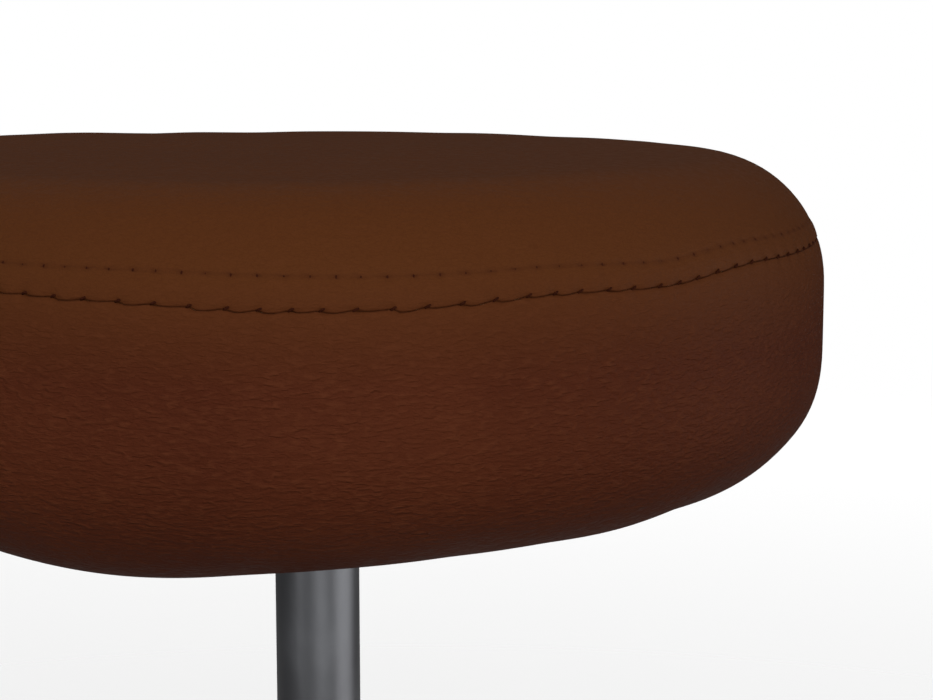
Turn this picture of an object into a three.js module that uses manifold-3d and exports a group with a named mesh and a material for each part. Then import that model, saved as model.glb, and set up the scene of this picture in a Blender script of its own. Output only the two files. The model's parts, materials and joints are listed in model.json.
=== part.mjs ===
// Dentist stool: a round, thickly padded leather seat on a gas lift, over a cast five-star base with
// twin-wheel casters. Millimetres, +Z up. The origin is on the column's axis, at floor level.
import * as THREE from "three";
import { mergeVertices } from "three/addons/utils/BufferGeometryUtils.js";
import Module from "manifold-3d";

const wasm = await Module();
wasm.setup();

// ---------------------------------------------------------------- driving dimensions

const GAP = 0.3; // between pieces that touch
const LEGS = 5;

// Sides of the round pieces
const SEAT_SIDES = 36;
const COLUMN_SIDES = 32;
const TUBE_SIDES = 28;
const RING_SIDES = 20;
const ROD_SIDES = 16;
const STEM_SIDES = 14;
const PIN_SIDES = 12;

// Casters
const WHEEL_R = 25;
const WHEEL_WIDTH = 18;
const WHEEL_INSET = 7.5; // from the caster's middle plane to a wheel's inner face
const WHEEL_CAP = 3; // the closed outer end of a wheel's bore
const WHEEL_DISH_R = 17.5;
const WHEEL_DISH_DEPTH = 2.5;
const AXLE_R = 3;
const TRAIL = 20; // from the stem's axis to the wheels' axle
const HOOD_R = 30;
const HOOD_WALL = 2.8;
const HOOD_HALF_WIDTH = 27;
const HOOD_WEB_HALF = 5.5; // the solid web between the two wheels
const HOOD_FOOT = 18; // height of the hood's lower edge
const HOOD_TOP = 61;
const BOSS_BOTTOM = 40; // the boss around the stem
const BOSS_FOOT_R = 13;
const BOSS_TOP_R = 9.5;
const STEM_PIN_R = 4;
const STEM_PIN_Z = 44.5;
const STEM_COLLAR_R = 8;
const STEM_COLLAR_Z = HOOD_TOP + GAP;
const STEM_COLLAR_HEIGHT = 2;
const STEM_SHAFT_R = 5.5;
const STEM_TOP = 86;
const CASTER_HEADING = 225; // degrees; the way all five casters trail

// Star base
const STEM_CIRCLE_R = 225;
const FIRST_LEG = 9; // degrees; puts the middle of the base's bounding box on the column's axis
const LEG_ROOT_HALF_WIDTH = 20;
const LEG_TIP_R = 14;
const LEG_TIP_Z = STEM_COLLAR_Z + STEM_COLLAR_HEIGHT + GAP;
// A leg's top and underside: where each curve starts, bends and ends, out along X
const LEG_TOP_LINE = [[0, 127], [150, 113], [STEM_CIRCLE_R + LEG_TIP_R, 91]];
const LEG_UNDER_LINE = [[0, 86], [120, 88], [STEM_CIRCLE_R - 22, 72]];
const LEG_WALL = 3.5;
const HUB_BOTTOM = 70;
const HUB_TOP = 129;
const HUB_R = 34;

// Gas lift
const COLUMN_R = 25;
const COLUMN_TAPER = 1.6; // how much narrower the column's foot is, in radius
const COLUMN_WALL = 1.5;
const COLUMN_BOTTOM = 58;
const COLUMN_FLOOR = 62;
const COLUMN_TOP = 288;
const BUSH_TOP = 292;
const BUSH_LENGTH = 100;
const TUBE_R = 14;
const TUBE_TIP_R = 13.2; // at the top of the tube's taper
const TUBE_WALL = 1.5;
const TUBE_BOTTOM = 155;
const ROD_R = 5;
const ROD_NECK_R = 4;
const ROD_FOOT = 51;
const ROD_TENON_R = 3.5; // the rod's end inside the piston
const PISTON_Z = 262;
const PISTON_HEIGHT = 16;
const CLIP_Z = 54.3;
const CLIP_THICKNESS = 1;
const BEARING_R = 14;
const BALL_R = 2;
const BALL_CIRCLE_R = 9.2;
const BALLS = 8;
const WASHER = 2.5;
const BUTTON_STEM_R = 2.2;

// Seat, measured up from SEAT_Z, the datum under the cushion
const SEAT_Z = 394;
const CUSHION_R = 164.5;
const CUSHION_TOP = SEAT_Z + 117;
const FLAT_R = 40; // the flat middle of the seat's top
const CROWN = 2.5;
const CROWN_R = 127;
const SHOULDER_FOOT = SEAT_Z + 75.5;
const BELLY_TOP = SEAT_Z + 55.5;
const BELLY_R = 48; // radius at which the belly's superellipse would run out flat
const BELLY_POWER = 2.54;
const BELLY_SHARE = 0.66; // how far round its quarter the belly goes before it turns in under the board
const SEAM_Z = SEAT_Z + 85;
const LEATHER = 1.2;
const BOARD_R = 122;
const BOARD_Z = SEAT_Z + 15;
const BOARD_THICKNESS = 15;
const ROLL_INNER_R = 106.5; // where the roll under the cushion's edge turns back up to the board
const HEM_R = 98; // where the leather ends, under the board
const COVER_R = 105;
const COVER_THICKNESS = 0.6;

// Mounting plate and height lever
const PLATE_THICKNESS = 2.5;
const PLATE_TOP = BOARD_Z - COVER_THICKNESS - 2 * GAP;
const PLATE_Z = PLATE_TOP - PLATE_THICKNESS;
const PLATE_HALF = 71;
const PLATE_FLANGE = 10;
const PLATE_CORNER = 12;
const BOLT_SPACING = 120;
const BOLT_R = 3;
const SOCKET_R = 18;
const SOCKET_RIM = 5; // how far the socket's flange stands out
const SOCKET_BOTTOM = SEAT_Z - 17;
const TUBE_TOP = SEAT_Z + 9;
const CHANNEL_HALF_WIDTH = 10;
const CHANNEL_CEILING = PLATE_TOP + 12;
const CHANNEL_NEAR = 15; // the channel's end past the tube's axis
const CHANNEL_FAR = -72; // the channel's end on the lever's side
const BUTTON_TOP = TUBE_TOP + 7;
const LEVER_THICKNESS = 5;
const LEVER_Z = BUTTON_TOP + 0.4 + LEVER_THICKNESS / 2;
const PIVOT_X = -44;
const PIVOT_R = 2.5;
const LEVER_ROD_R = 4;
const LEVER_HALF_WIDTH = 6; // of its flat pad
const LEVER_END = -178;
const GRIP_LENGTH = 56;

// ---------------------------------------------------------------- materials

const finish = (color, roughness, metalness) =>
  new THREE.MeshStandardMaterial({ color, roughness, metalness, flatShading: true });

const leather = finish(0x4a2617, 0.45, 0);
const foam = finish(0xd9cfa8, 0.95, 0);
const plywood = finish(0xb98d5a, 0.7, 0);
const dustCloth = finish(0x17171a, 0.95, 0);
const darkSteel = finish(0x3c3d40, 0.3, 0.9);
const blackSteel = finish(0x1b1b1d, 0.5, 0.4);
const chrome = finish(0xd8dadd, 0.08, 1);
const zinc = finish(0xa9adb0, 0.35, 1);
const aluminium = finish(0xc9ccd0, 0.18, 1);
const nylon = finish(0x161617, 0.55, 0);
const tread = finish(0x4b4d50, 0.7, 0);
const rubber = finish(0x101010, 0.85, 0);

// ---------------------------------------------------------------- geometry helpers

const radians = THREE.MathUtils.degToRad;

// A closed three.js geometry as a solid that can be joined and cut.
function solidOf(geometry) {
  const bare = geometry.clone();
  bare.deleteAttribute("normal");
  bare.deleteAttribute("uv");
  const merged = mergeVertices(bare, 1e-4);
  return new wasm.Manifold(
    new wasm.Mesh({
      numProp: 3,
      vertProperties: new Float32Array(merged.attributes.position.array),
      triVerts: new Uint32Array(merged.index.array),
    }),
  );
}

function geometryOf(solid) {
  const { vertProperties, triVerts } = solid.getMesh();
  const geometry = new THREE.BufferGeometry();
  geometry.setAttribute("position", new THREE.BufferAttribute(vertProperties, 3));
  geometry.setIndex(new THREE.BufferAttribute(triVerts, 1));
  return geometry;
}

const combine =
  (operation) =>
  (first, ...others) =>
    geometryOf(others.reduce((whole, other) => whole[operation](solidOf(other)), solidOf(first)));
const join = combine("add");
const cut = combine("subtract");
const common = combine("intersect");

// A solid of revolution about Z from a closed outline of [radius, height] points, in either direction.
function turned(outline, segments) {
  const points = outline.map(([r, z]) => new THREE.Vector2(r, z));
  if (THREE.ShapeUtils.isClockWise(points)) points.reverse();
  const closed = points[0].x === 0 && points.at(-1).x === 0 ? points : [...points, points[0]];
  return new THREE.LatheGeometry(closed, segments).rotateX(Math.PI / 2);
}

// A ring, tube or washer about Z.
const ring = (inner, outer, bottom, top, segments) =>
  turned([[inner, bottom], [outer, bottom], [outer, top], [inner, top]], segments);

// A plain cylinder about Z.
const rod = (radius, bottom, top, segments) =>
  new THREE.CylinderGeometry(radius, radius, top - bottom, segments)
    .rotateX(Math.PI / 2)
    .translate(0, 0, (bottom + top) / 2);

// A flat outline in XY, raised from bottom to top.
const plate = (shape, bottom, top, curveSegments = 6) =>
  new THREE.ExtrudeGeometry(shape, { depth: top - bottom, bevelEnabled: false, curveSegments })
    .translate(0, 0, bottom);

// An outline drawn in XZ, with thickness from y = -half to y = half.
const upright = (shape, half, curveSegments = 6) =>
  new THREE.ExtrudeGeometry(shape, { depth: 2 * half, bevelEnabled: false, curveSegments })
    .rotateX(Math.PI / 2)
    .translate(0, half, 0);

const box = (low, high) =>
  new THREE.BoxGeometry(...high.map((value, i) => value - low[i]))
    .translate(...high.map((value, i) => (value + low[i]) / 2));

function rectangle(left, right, front, back, corner = 0) {
  const shape = new THREE.Shape();
  const turns = [[right, front], [right, back], [left, back], [left, front]];
  turns.forEach(([x, y], i) => {
    const start = i * (Math.PI / 2) - Math.PI / 2;
    const cx = x + (x === right ? -corner : corner);
    const cy = y + (y === back ? -corner : corner);
    if (corner) shape.absarc(cx, cy, corner, start, start + Math.PI / 2);
    else if (i) shape.lineTo(x, y);
    else shape.moveTo(x, y);
  });
  return shape;
}

const stool = new THREE.Group();

function add(name, geometry, material, parent = stool) {
  const mesh = new THREE.Mesh(geometry, material);
  mesh.name = name;
  parent.add(mesh);
  return mesh;
}

// ---------------------------------------------------------------- star base

// Outer radius of the column: cylindrical above the hub, tapered inside it.
function columnRadius(z) {
  const share = THREE.MathUtils.clamp((HUB_TOP - z) / (HUB_TOP - COLUMN_FLOOR), 0, 1);
  return COLUMN_R - COLUMN_TAPER * share;
}

// The side view of one leg, out along X.
function legSide() {
  const [topRoot, topBend, topTip] = LEG_TOP_LINE;
  const [underRoot, underBend, underNeck] = LEG_UNDER_LINE;
  const shape = new THREE.Shape();
  shape.moveTo(...underRoot);
  shape.quadraticCurveTo(...underBend, ...underNeck);
  shape.lineTo(STEM_CIRCLE_R - LEG_TIP_R, LEG_TIP_Z);
  shape.lineTo(topTip[0], LEG_TIP_Z);
  shape.lineTo(...topTip);
  shape.quadraticCurveTo(...topBend, ...topRoot);
  shape.closePath();
  return shape;
}

// The side view of the hollow under a leg, open below.
function hollowSide() {
  const open = HUB_BOTTOM - 10;
  const inner = HUB_R + LEG_WALL;
  const outer = STEM_CIRCLE_R - LEG_TIP_R - LEG_WALL;
  const [[, rootHeight], [bendX, bendHeight], [, tipHeight]] = LEG_TOP_LINE;
  const shape = new THREE.Shape();
  shape.moveTo(inner, open);
  shape.lineTo(outer, open);
  shape.lineTo(outer, tipHeight + 4 - LEG_WALL);
  shape.quadraticCurveTo(bendX, bendHeight - LEG_WALL, inner, rootHeight - LEG_WALL);
  shape.closePath();
  return shape;
}

// The plan view of one leg: it narrows to a round tip.
function legPlan(inset) {
  const root = LEG_ROOT_HALF_WIDTH - inset;
  const tip = LEG_TIP_R - inset;
  const shape = new THREE.Shape();
  shape.moveTo(0, -root);
  shape.absarc(STEM_CIRCLE_R, 0, tip, -Math.PI / 2, Math.PI / 2);
  shape.lineTo(0, root);
  shape.closePath();
  return shape;
}

function leg() {
  const below = HUB_BOTTOM - 20;
  const above = HUB_TOP + 10;
  const body = common(upright(legSide(), 30), plate(legPlan(0), below, above));
  const hollow = common(upright(hollowSide(), 30), plate(legPlan(LEG_WALL), below - 1, above, 3));
  const bore = rod(STEM_SHAFT_R + 0.6, below, STEM_TOP + 2, ROD_SIDES).translate(STEM_CIRCLE_R, 0, 0);
  return cut(body, hollow, bore);
}

const legAngle = (i) => radians(FIRST_LEG + (i * 360) / LEGS);

function starBase() {
  const hub = turned(
    [[0, HUB_BOTTOM], [HUB_R - 2, HUB_BOTTOM], [HUB_R, HUB_BOTTOM + 2], [HUB_R - 1, HUB_TOP - 3],
     [HUB_R - 4, HUB_TOP], [0, HUB_TOP]],
    COLUMN_SIDES,
  );
  const oneLeg = leg();
  const legs = Array.from({ length: LEGS }, (_, i) => oneLeg.clone().rotateZ(legAngle(i)));
  const bore = turned(
    [[0, HUB_BOTTOM - 1], [columnRadius(HUB_BOTTOM - 1) + GAP, HUB_BOTTOM - 1],
     [columnRadius(HUB_TOP) + GAP, HUB_TOP + 1], [0, HUB_TOP + 1]],
    COLUMN_SIDES,
  );
  return cut(join(hub, ...legs), bore);
}

add("star_base", starBase(), aluminium);

// ---------------------------------------------------------------- casters

// Snaps into the leg's bore; the hood turns on its lower pin.
function casterStem() {
  const collarTop = STEM_COLLAR_Z + STEM_COLLAR_HEIGHT;
  return turned(
    [[0, STEM_PIN_Z], [STEM_PIN_R, STEM_PIN_Z], [STEM_PIN_R, STEM_COLLAR_Z], [STEM_COLLAR_R, STEM_COLLAR_Z],
     [STEM_COLLAR_R, collarTop], [STEM_SHAFT_R, collarTop], [STEM_SHAFT_R, STEM_TOP - 1.5],
     [STEM_SHAFT_R - 1.5, STEM_TOP], [0, STEM_TOP]],
    STEM_SIDES,
  );
}

// About Y, with its middle at the axle.
const acrossAxle = (radius, from, to, segments) =>
  rod(radius, from, to, segments).rotateX(-Math.PI / 2).translate(TRAIL, 0, WHEEL_R);

function casterHood() {
  const drum = acrossAxle(HOOD_R, -HOOD_HALF_WIDTH, HOOD_HALF_WIDTH, TUBE_SIDES);
  const boss = turned(
    [[0, BOSS_BOTTOM], [BOSS_FOOT_R, BOSS_BOTTOM], [BOSS_TOP_R, HOOD_TOP], [0, HOOD_TOP]],
    ROD_SIDES,
  );
  const below = box([-2 * HOOD_R, -2 * HOOD_R, -HOOD_R], [2 * HOOD_R, 2 * HOOD_R, HOOD_FOOT]);
  const pockets = [1, -1].map((side) => {
    const ends = [side * HOOD_WEB_HALF, side * (HOOD_HALF_WIDTH + 2)];
    return acrossAxle(HOOD_R - HOOD_WALL, Math.min(...ends), Math.max(...ends), TUBE_SIDES);
  });
  const stemBore = rod(STEM_PIN_R + GAP, STEM_PIN_Z - 0.5, HOOD_TOP + 1, STEM_SIDES);
  const axleBore = acrossAxle(AXLE_R + GAP, -HOOD_HALF_WIDTH, HOOD_HALF_WIDTH, PIN_SIDES);
  return cut(join(drum, boss), below, ...pockets, stemBore, axleBore);
}

// One wheel about Z, its inner face down, with a blind bore and a dished outer face.
// A flat of its tread lies on the floor.
function wheelBlank() {
  const corner = WHEEL_R / Math.cos(Math.PI / RING_SIDES);
  const bore = AXLE_R + 0.4;
  const dish = WHEEL_WIDTH - WHEEL_DISH_DEPTH;
  return turned(
    [[bore, 0], [corner - 2, 0], [corner, 2], [corner, WHEEL_WIDTH - 3], [corner - 3, WHEEL_WIDTH],
     [WHEEL_DISH_R + 1.5, WHEEL_WIDTH], [WHEEL_DISH_R, dish], [0, dish], [0, WHEEL_WIDTH - WHEEL_CAP],
     [bore, WHEEL_WIDTH - WHEEL_CAP]],
    RING_SIDES,
  ).rotateZ(Math.PI / RING_SIDES);
}

for (let i = 0; i < LEGS; i += 1) {
  const caster = new THREE.Group();
  caster.position.set(STEM_CIRCLE_R * Math.cos(legAngle(i)), STEM_CIRCLE_R * Math.sin(legAngle(i)), 0);
  caster.rotation.z = radians(CASTER_HEADING);
  stool.add(caster);
  const number = i + 1;
  const axleHalf = WHEEL_INSET + WHEEL_WIDTH - WHEEL_CAP - 1;
  add(`caster_stem_${number}`, casterStem(), zinc, caster);
  add(`caster_hood_${number}`, casterHood(), nylon, caster);
  add(`caster_axle_${number}`, acrossAxle(AXLE_R, -axleHalf, axleHalf, PIN_SIDES), zinc, caster);
  for (const [side, sign] of [["left", 1], ["right", -1]]) {
    const wheel = add(`wheel_${side}_${number}`, wheelBlank(), tread, caster);
    wheel.position.set(TRAIL, sign * WHEEL_INSET, WHEEL_R);
    wheel.rotation.x = (-sign * Math.PI) / 2;
  }
}

// ---------------------------------------------------------------- gas lift, fixed parts

function outerColumn() {
  const inside = (z) => columnRadius(z) - COLUMN_WALL;
  return turned(
    [[ROD_NECK_R + 0.6, COLUMN_BOTTOM], [columnRadius(COLUMN_FLOOR) - 1.5, COLUMN_BOTTOM],
     [columnRadius(COLUMN_FLOOR), COLUMN_FLOOR], [COLUMN_R, HUB_TOP], [COLUMN_R, COLUMN_TOP],
     [inside(COLUMN_TOP), COLUMN_TOP], [inside(HUB_TOP), HUB_TOP], [inside(COLUMN_FLOOR), COLUMN_FLOOR],
     [ROD_NECK_R + 0.6, COLUMN_FLOOR]],
    COLUMN_SIDES,
  );
}

function guideBush() {
  const outer = COLUMN_R - COLUMN_WALL - GAP;
  return turned(
    [[TUBE_R + GAP, COLUMN_TOP - BUSH_LENGTH], [outer, COLUMN_TOP - BUSH_LENGTH],
     [outer, COLUMN_TOP + GAP], [COLUMN_R - 0.2, COLUMN_TOP + GAP], [COLUMN_R - 0.2, BUSH_TOP - 1.5],
     [COLUMN_R - 2, BUSH_TOP], [TUBE_R + GAP, BUSH_TOP]],
    TUBE_SIDES,
  );
}

const LOWER_WASHER = COLUMN_FLOOR + GAP;
const BALL_TRACK = LOWER_WASHER + WASHER + GAP + BALL_R;
const UPPER_WASHER = BALL_TRACK + BALL_R + GAP;
const ROD_SHOULDER = UPPER_WASHER + WASHER + GAP;

const bearingWasher = (bottom) => ring(ROD_NECK_R + GAP, BEARING_R, bottom, bottom + WASHER, ROD_SIDES);

add("outer_column", outerColumn(), chrome);
add("guide_bush", guideBush(), nylon);
add("bearing_washer_lower", bearingWasher(LOWER_WASHER), zinc);

// ---------------------------------------------------------------- gas lift, parts on the piston rod

// Eight balls held in a thin ring.
function ballCage() {
  const cage = ring(BALL_CIRCLE_R - 3.4, BALL_CIRCLE_R + 3.4, BALL_TRACK - 0.6, BALL_TRACK + 0.6, ROD_SIDES);
  const balls = Array.from({ length: BALLS }, (_, i) =>
    new THREE.SphereGeometry(BALL_R, 6, 4)
      .rotateX(Math.PI / 2)
      .translate(BALL_CIRCLE_R, 0, BALL_TRACK)
      .rotateZ((i * 2 * Math.PI) / BALLS),
  );
  return join(cage, ...balls);
}

// Its neck goes through the bearing and the column's floor; its riveted head holds the piston.
function pistonRod() {
  const groove = [CLIP_Z - GAP, CLIP_Z + CLIP_THICKNESS + GAP];
  const head = PISTON_Z + PISTON_HEIGHT;
  return turned(
    [[0, ROD_FOOT], [ROD_NECK_R, ROD_FOOT + 0.5], [ROD_NECK_R, groove[0]], [ROD_NECK_R - 1, groove[0]],
     [ROD_NECK_R - 1, groove[1]], [ROD_NECK_R, groove[1]], [ROD_NECK_R, ROD_SHOULDER], [ROD_R, ROD_SHOULDER],
     [ROD_R, PISTON_Z - GAP], [ROD_TENON_R, PISTON_Z - GAP], [ROD_TENON_R, head + GAP], [ROD_R, head + GAP],
     [ROD_R - 1, head + 3], [0, head + 3]],
    ROD_SIDES,
  );
}

// An open spring ring in the rod's groove, under a washer.
function retainingClip() {
  const whole = ring(ROD_NECK_R - 1 + GAP, 2 * ROD_NECK_R, CLIP_Z, CLIP_Z + CLIP_THICKNESS, RING_SIDES);
  return cut(whole, box([0, -2, CLIP_Z - 1], [3 * ROD_NECK_R, 2, CLIP_Z + CLIP_THICKNESS + 1]));
}

const SEAL_Z = PISTON_Z + PISTON_HEIGHT / 2;
const SEAL_SECTION_R = 1.3;

function piston() {
  const outer = TUBE_R - TUBE_WALL - GAP;
  const bore = ROD_TENON_R + GAP;
  const top = PISTON_Z + PISTON_HEIGHT;
  const groove = 1.8;
  return turned(
    [[bore, PISTON_Z], [outer, PISTON_Z], [outer, SEAL_Z - groove], [outer - 3, SEAL_Z - groove],
     [outer - 3, SEAL_Z + groove], [outer, SEAL_Z + groove], [outer, top], [bore, top]],
    RING_SIDES,
  );
}

function sealRing() {
  const middle = TUBE_R - TUBE_WALL - GAP - 1.05 * SEAL_SECTION_R;
  const section = Array.from({ length: 6 }, (_, i) => [
    middle + SEAL_SECTION_R * Math.cos((i * Math.PI) / 3),
    SEAL_Z + SEAL_SECTION_R * Math.sin((i * Math.PI) / 3),
  ]);
  return turned(section, RING_SIDES);
}

const bumpStop = () =>
  turned(
    [[ROD_R + 0.4, ROD_SHOULDER + GAP], [11, ROD_SHOULDER + GAP], [12, ROD_SHOULDER + 3],
     [9, ROD_SHOULDER + 12], [ROD_R + 0.4, ROD_SHOULDER + 12]],
    RING_SIDES,
  );

add("bearing_ball_cage", ballCage(), zinc);
add("bearing_washer_upper", bearingWasher(UPPER_WASHER), zinc);
add("clip_washer", ring(ROD_NECK_R + GAP, 9, COLUMN_BOTTOM - 2.2, COLUMN_BOTTOM - GAP, RING_SIDES), zinc);
add("retaining_clip", retainingClip(), zinc);
add("piston_rod", pistonRod(), zinc);
add("piston", piston(), aluminium);
add("piston_seal", sealRing(), rubber);
add("bump_stop", bumpStop(), rubber);

// ---------------------------------------------------------------- gas lift, parts that rise with the seat

const TAPER_FOOT = TUBE_TOP - 29;
const tubeRadius = (z) =>
  TUBE_R - (TUBE_R - TUBE_TIP_R) * THREE.MathUtils.clamp((z - TAPER_FOOT) / (TUBE_TOP - TAPER_FOOT), 0, 1);

// The pressure tube, with a crimped lip at each end.
function pressureTube() {
  const inner = TUBE_R - TUBE_WALL;
  const innerTip = TUBE_TIP_R - TUBE_WALL;
  const footLip = 9;
  const headLip = 8;
  return turned(
    [[footLip, TUBE_BOTTOM], [TUBE_R - 1, TUBE_BOTTOM], [TUBE_R, TUBE_BOTTOM + 1], [TUBE_R, TAPER_FOOT],
     [TUBE_TIP_R, TUBE_TOP], [headLip, TUBE_TOP], [headLip, TUBE_TOP - TUBE_WALL],
     [innerTip, TUBE_TOP - TUBE_WALL], [inner, TAPER_FOOT], [inner, TUBE_BOTTOM + TUBE_WALL],
     [footLip, TUBE_BOTTOM + TUBE_WALL]],
    TUBE_SIDES,
  );
}

const rodGuide = () =>
  ring(ROD_R + GAP, TUBE_R - TUBE_WALL - GAP, TUBE_BOTTOM + TUBE_WALL + GAP, TUBE_BOTTOM + 20, RING_SIDES);

function valveBody() {
  const outer = TUBE_TIP_R - TUBE_WALL - GAP;
  return ring(BUTTON_STEM_R + 0.4, outer, TUBE_TOP - 28, TUBE_TOP - TUBE_WALL - GAP, RING_SIDES);
}

// The button on top of the gas spring, with the stem that opens the valve.
const valveButton = () =>
  turned(
    [[0, TUBE_TOP - 23], [BUTTON_STEM_R, TUBE_TOP - 23], [BUTTON_STEM_R, TUBE_TOP + 1.8], [4, TUBE_TOP + 1.8],
     [4, BUTTON_TOP - 0.8], [3.2, BUTTON_TOP], [0, BUTTON_TOP]],
    STEM_SIDES,
  );

add("pressure_tube", pressureTube(), darkSteel);
add("rod_guide", rodGuide(), nylon);
add("valve_body", valveBody(), zinc);
add("valve_button", valveButton(), zinc);

// ---------------------------------------------------------------- mounting plate and lever

const BOLT_PLACES = [1, -1].flatMap((x) =>
  [1, -1].map((y) => [(x * BOLT_SPACING) / 2, (y * BOLT_SPACING) / 2]),
);
const boltHoles = (radius, bottom, top, segments = PIN_SIDES) =>
  BOLT_PLACES.map(([x, y]) => rod(radius, bottom, top, segments).translate(x, y, 0));

// About Y, through the lever's pivot.
const acrossPivot = (radius, half, segments) =>
  rod(radius, -half, half, segments).rotateX(Math.PI / 2).translate(PIVOT_X, 0, LEVER_Z);

// The cup that the tube's taper wedges into.
function taperSocket() {
  const top = PLATE_Z - GAP;
  const rim = SOCKET_R + SOCKET_RIM;
  return turned(
    [[tubeRadius(SOCKET_BOTTOM) + GAP, SOCKET_BOTTOM], [SOCKET_R - 1, SOCKET_BOTTOM],
     [SOCKET_R, SOCKET_BOTTOM + 1], [SOCKET_R, top - SOCKET_RIM], [rim, top - SOCKET_RIM / 2], [rim, top],
     [TUBE_TIP_R + GAP, top]],
    TUBE_SIDES,
  );
}

// Pressed steel: two folded edges and a raised channel, open below, where the lever runs.
function mountingPlate() {
  const outline = rectangle(-PLATE_HALF, PLATE_HALF, -PLATE_HALF, PLATE_HALF, PLATE_CORNER);
  const sheet = plate(outline, PLATE_Z, PLATE_TOP, 4);
  const flangeHalf = PLATE_HALF - PLATE_CORNER - 2;
  const flanges = [1, -1].map((side) => {
    const outer = side * PLATE_HALF;
    const inner = outer - side * PLATE_THICKNESS;
    return box(
      [-flangeHalf, Math.min(inner, outer), PLATE_Z - PLATE_FLANGE],
      [flangeHalf, Math.max(inner, outer), PLATE_Z + 1],
    );
  });
  const outside = CHANNEL_HALF_WIDTH + PLATE_THICKNESS;
  const channel = plate(
    rectangle(CHANNEL_FAR - PLATE_THICKNESS, CHANNEL_NEAR + PLATE_THICKNESS, -outside, outside, 4),
    PLATE_Z + 1,
    CHANNEL_CEILING + PLATE_THICKNESS,
    3,
  );
  const inside = plate(
    rectangle(CHANNEL_FAR, CHANNEL_NEAR, -CHANNEL_HALF_WIDTH, CHANNEL_HALF_WIDTH, 2),
    PLATE_Z - 20,
    CHANNEL_CEILING,
    2,
  );
  const holes = boltHoles(BOLT_R + 0.4, PLATE_Z - 5, PLATE_TOP + 5);
  return cut(join(sheet, channel, ...flanges), inside, acrossPivot(PIVOT_R + GAP, 30, PIN_SIDES), ...holes);
}

// The lever's middle line, from the flat pad outwards and down, then nearly level under the cushion.
const LEVER_STRAIGHT_FROM = [-120, LEVER_Z - 29];
const LEVER_TIP = [LEVER_END, LEVER_Z - 31];
const leverLine = new THREE.CatmullRomCurve3(
  [[PIVOT_X, LEVER_Z], [-56, LEVER_Z - 4], [-70, LEVER_Z - 18], [-88, LEVER_Z - 26], LEVER_STRAIGHT_FROM,
   LEVER_TIP].map(([x, z]) => new THREE.Vector3(x, 0, z)),
);

function circle(radius) {
  const shape = new THREE.Shape();
  shape.absarc(0, 0, radius, 0, 2 * Math.PI);
  return shape;
}

const alongLever = (radius) =>
  new THREE.ExtrudeGeometry(circle(radius), {
    extrudePath: leverLine,
    steps: 20,
    curveSegments: 6,
    bevelEnabled: false,
  });

// A flat pad over the button, a pivot eye, and a bent round rod.
function heightLever() {
  const half = LEVER_THICKNESS / 2;
  const pad = box([PIVOT_X - 4.5, -LEVER_HALF_WIDTH, LEVER_Z - half], [5, LEVER_HALF_WIDTH, LEVER_Z + half]);
  const eye = acrossPivot(5.5, LEVER_HALF_WIDTH, ROD_SIDES);
  const hole = acrossPivot(PIVOT_R + 0.2, 20, PIN_SIDES);
  return cut(join(pad, eye, alongLever(LEVER_ROD_R)), hole);
}

// A moulded sleeve over the lever's end.
function leverGrip() {
  const outward = 4; // past the lever's end
  const blank = turned(
    [[0, 0], [6, 0], [9, 3], [9.5, 14], [8, GRIP_LENGTH - 12], [6, GRIP_LENGTH], [0, GRIP_LENGTH]],
    ROD_SIDES,
  );
  const slope = Math.atan2(LEVER_STRAIGHT_FROM[1] - LEVER_TIP[1], LEVER_STRAIGHT_FROM[0] - LEVER_TIP[0]);
  const placed = blank.rotateY(Math.PI / 2 - slope).translate(LEVER_TIP[0] - outward, 0, LEVER_TIP[1]);
  return cut(placed, alongLever(LEVER_ROD_R + GAP));
}

add("taper_socket", taperSocket(), blackSteel);
add("mounting_plate", mountingPlate(), blackSteel);
add("height_lever", heightLever(), zinc);
add("lever_grip", leverGrip(), nylon);
add("lever_pivot_pin", acrossPivot(PIVOT_R, CHANNEL_HALF_WIDTH + 2.2, PIN_SIDES), zinc);

// ---------------------------------------------------------------- seat board and fasteners

const BOARD_TOP = BOARD_Z + BOARD_THICKNESS;
const KEYHOLE_MARGIN = 3.5; // around the plate's channel
const NUT_FLANGE_R = 10;
const NUT_FLANGE = 2;
const NUT_BARREL_R = 4.2;

// The cut-out that clears the plate's raised channel.
const keyhole = (margin, bottom, top) =>
  plate(
    rectangle(
      CHANNEL_FAR - PLATE_THICKNESS - margin,
      CHANNEL_NEAR + PLATE_THICKNESS + margin,
      -CHANNEL_HALF_WIDTH - PLATE_THICKNESS - margin,
      CHANNEL_HALF_WIDTH + PLATE_THICKNESS + margin,
      5,
    ),
    bottom,
    top,
    2,
  );

const seatBoard = () =>
  cut(
    rod(BOARD_R, BOARD_Z, BOARD_TOP, SEAT_SIDES),
    keyhole(KEYHOLE_MARGIN, BOARD_Z - 1, BOARD_TOP + 1),
    ...boltHoles(NUT_BARREL_R + GAP, BOARD_Z - 1, BOARD_TOP + 1),
    ...boltHoles(NUT_FLANGE_R + 0.5, BOARD_TOP - NUT_FLANGE, BOARD_TOP + 1, ROD_SIDES),
  );

// Pressed into the board from above: a barrel under a round flange.
function tNut() {
  const bore = BOLT_R + GAP;
  const foot = BOARD_TOP - 11;
  const flange = BOARD_TOP - NUT_FLANGE + GAP;
  const top = BOARD_TOP - GAP;
  return turned(
    [[bore, foot], [NUT_BARREL_R, foot], [NUT_BARREL_R, flange], [NUT_FLANGE_R, flange], [NUT_FLANGE_R, top],
     [bore, top]],
    STEM_SIDES,
  );
}

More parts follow.
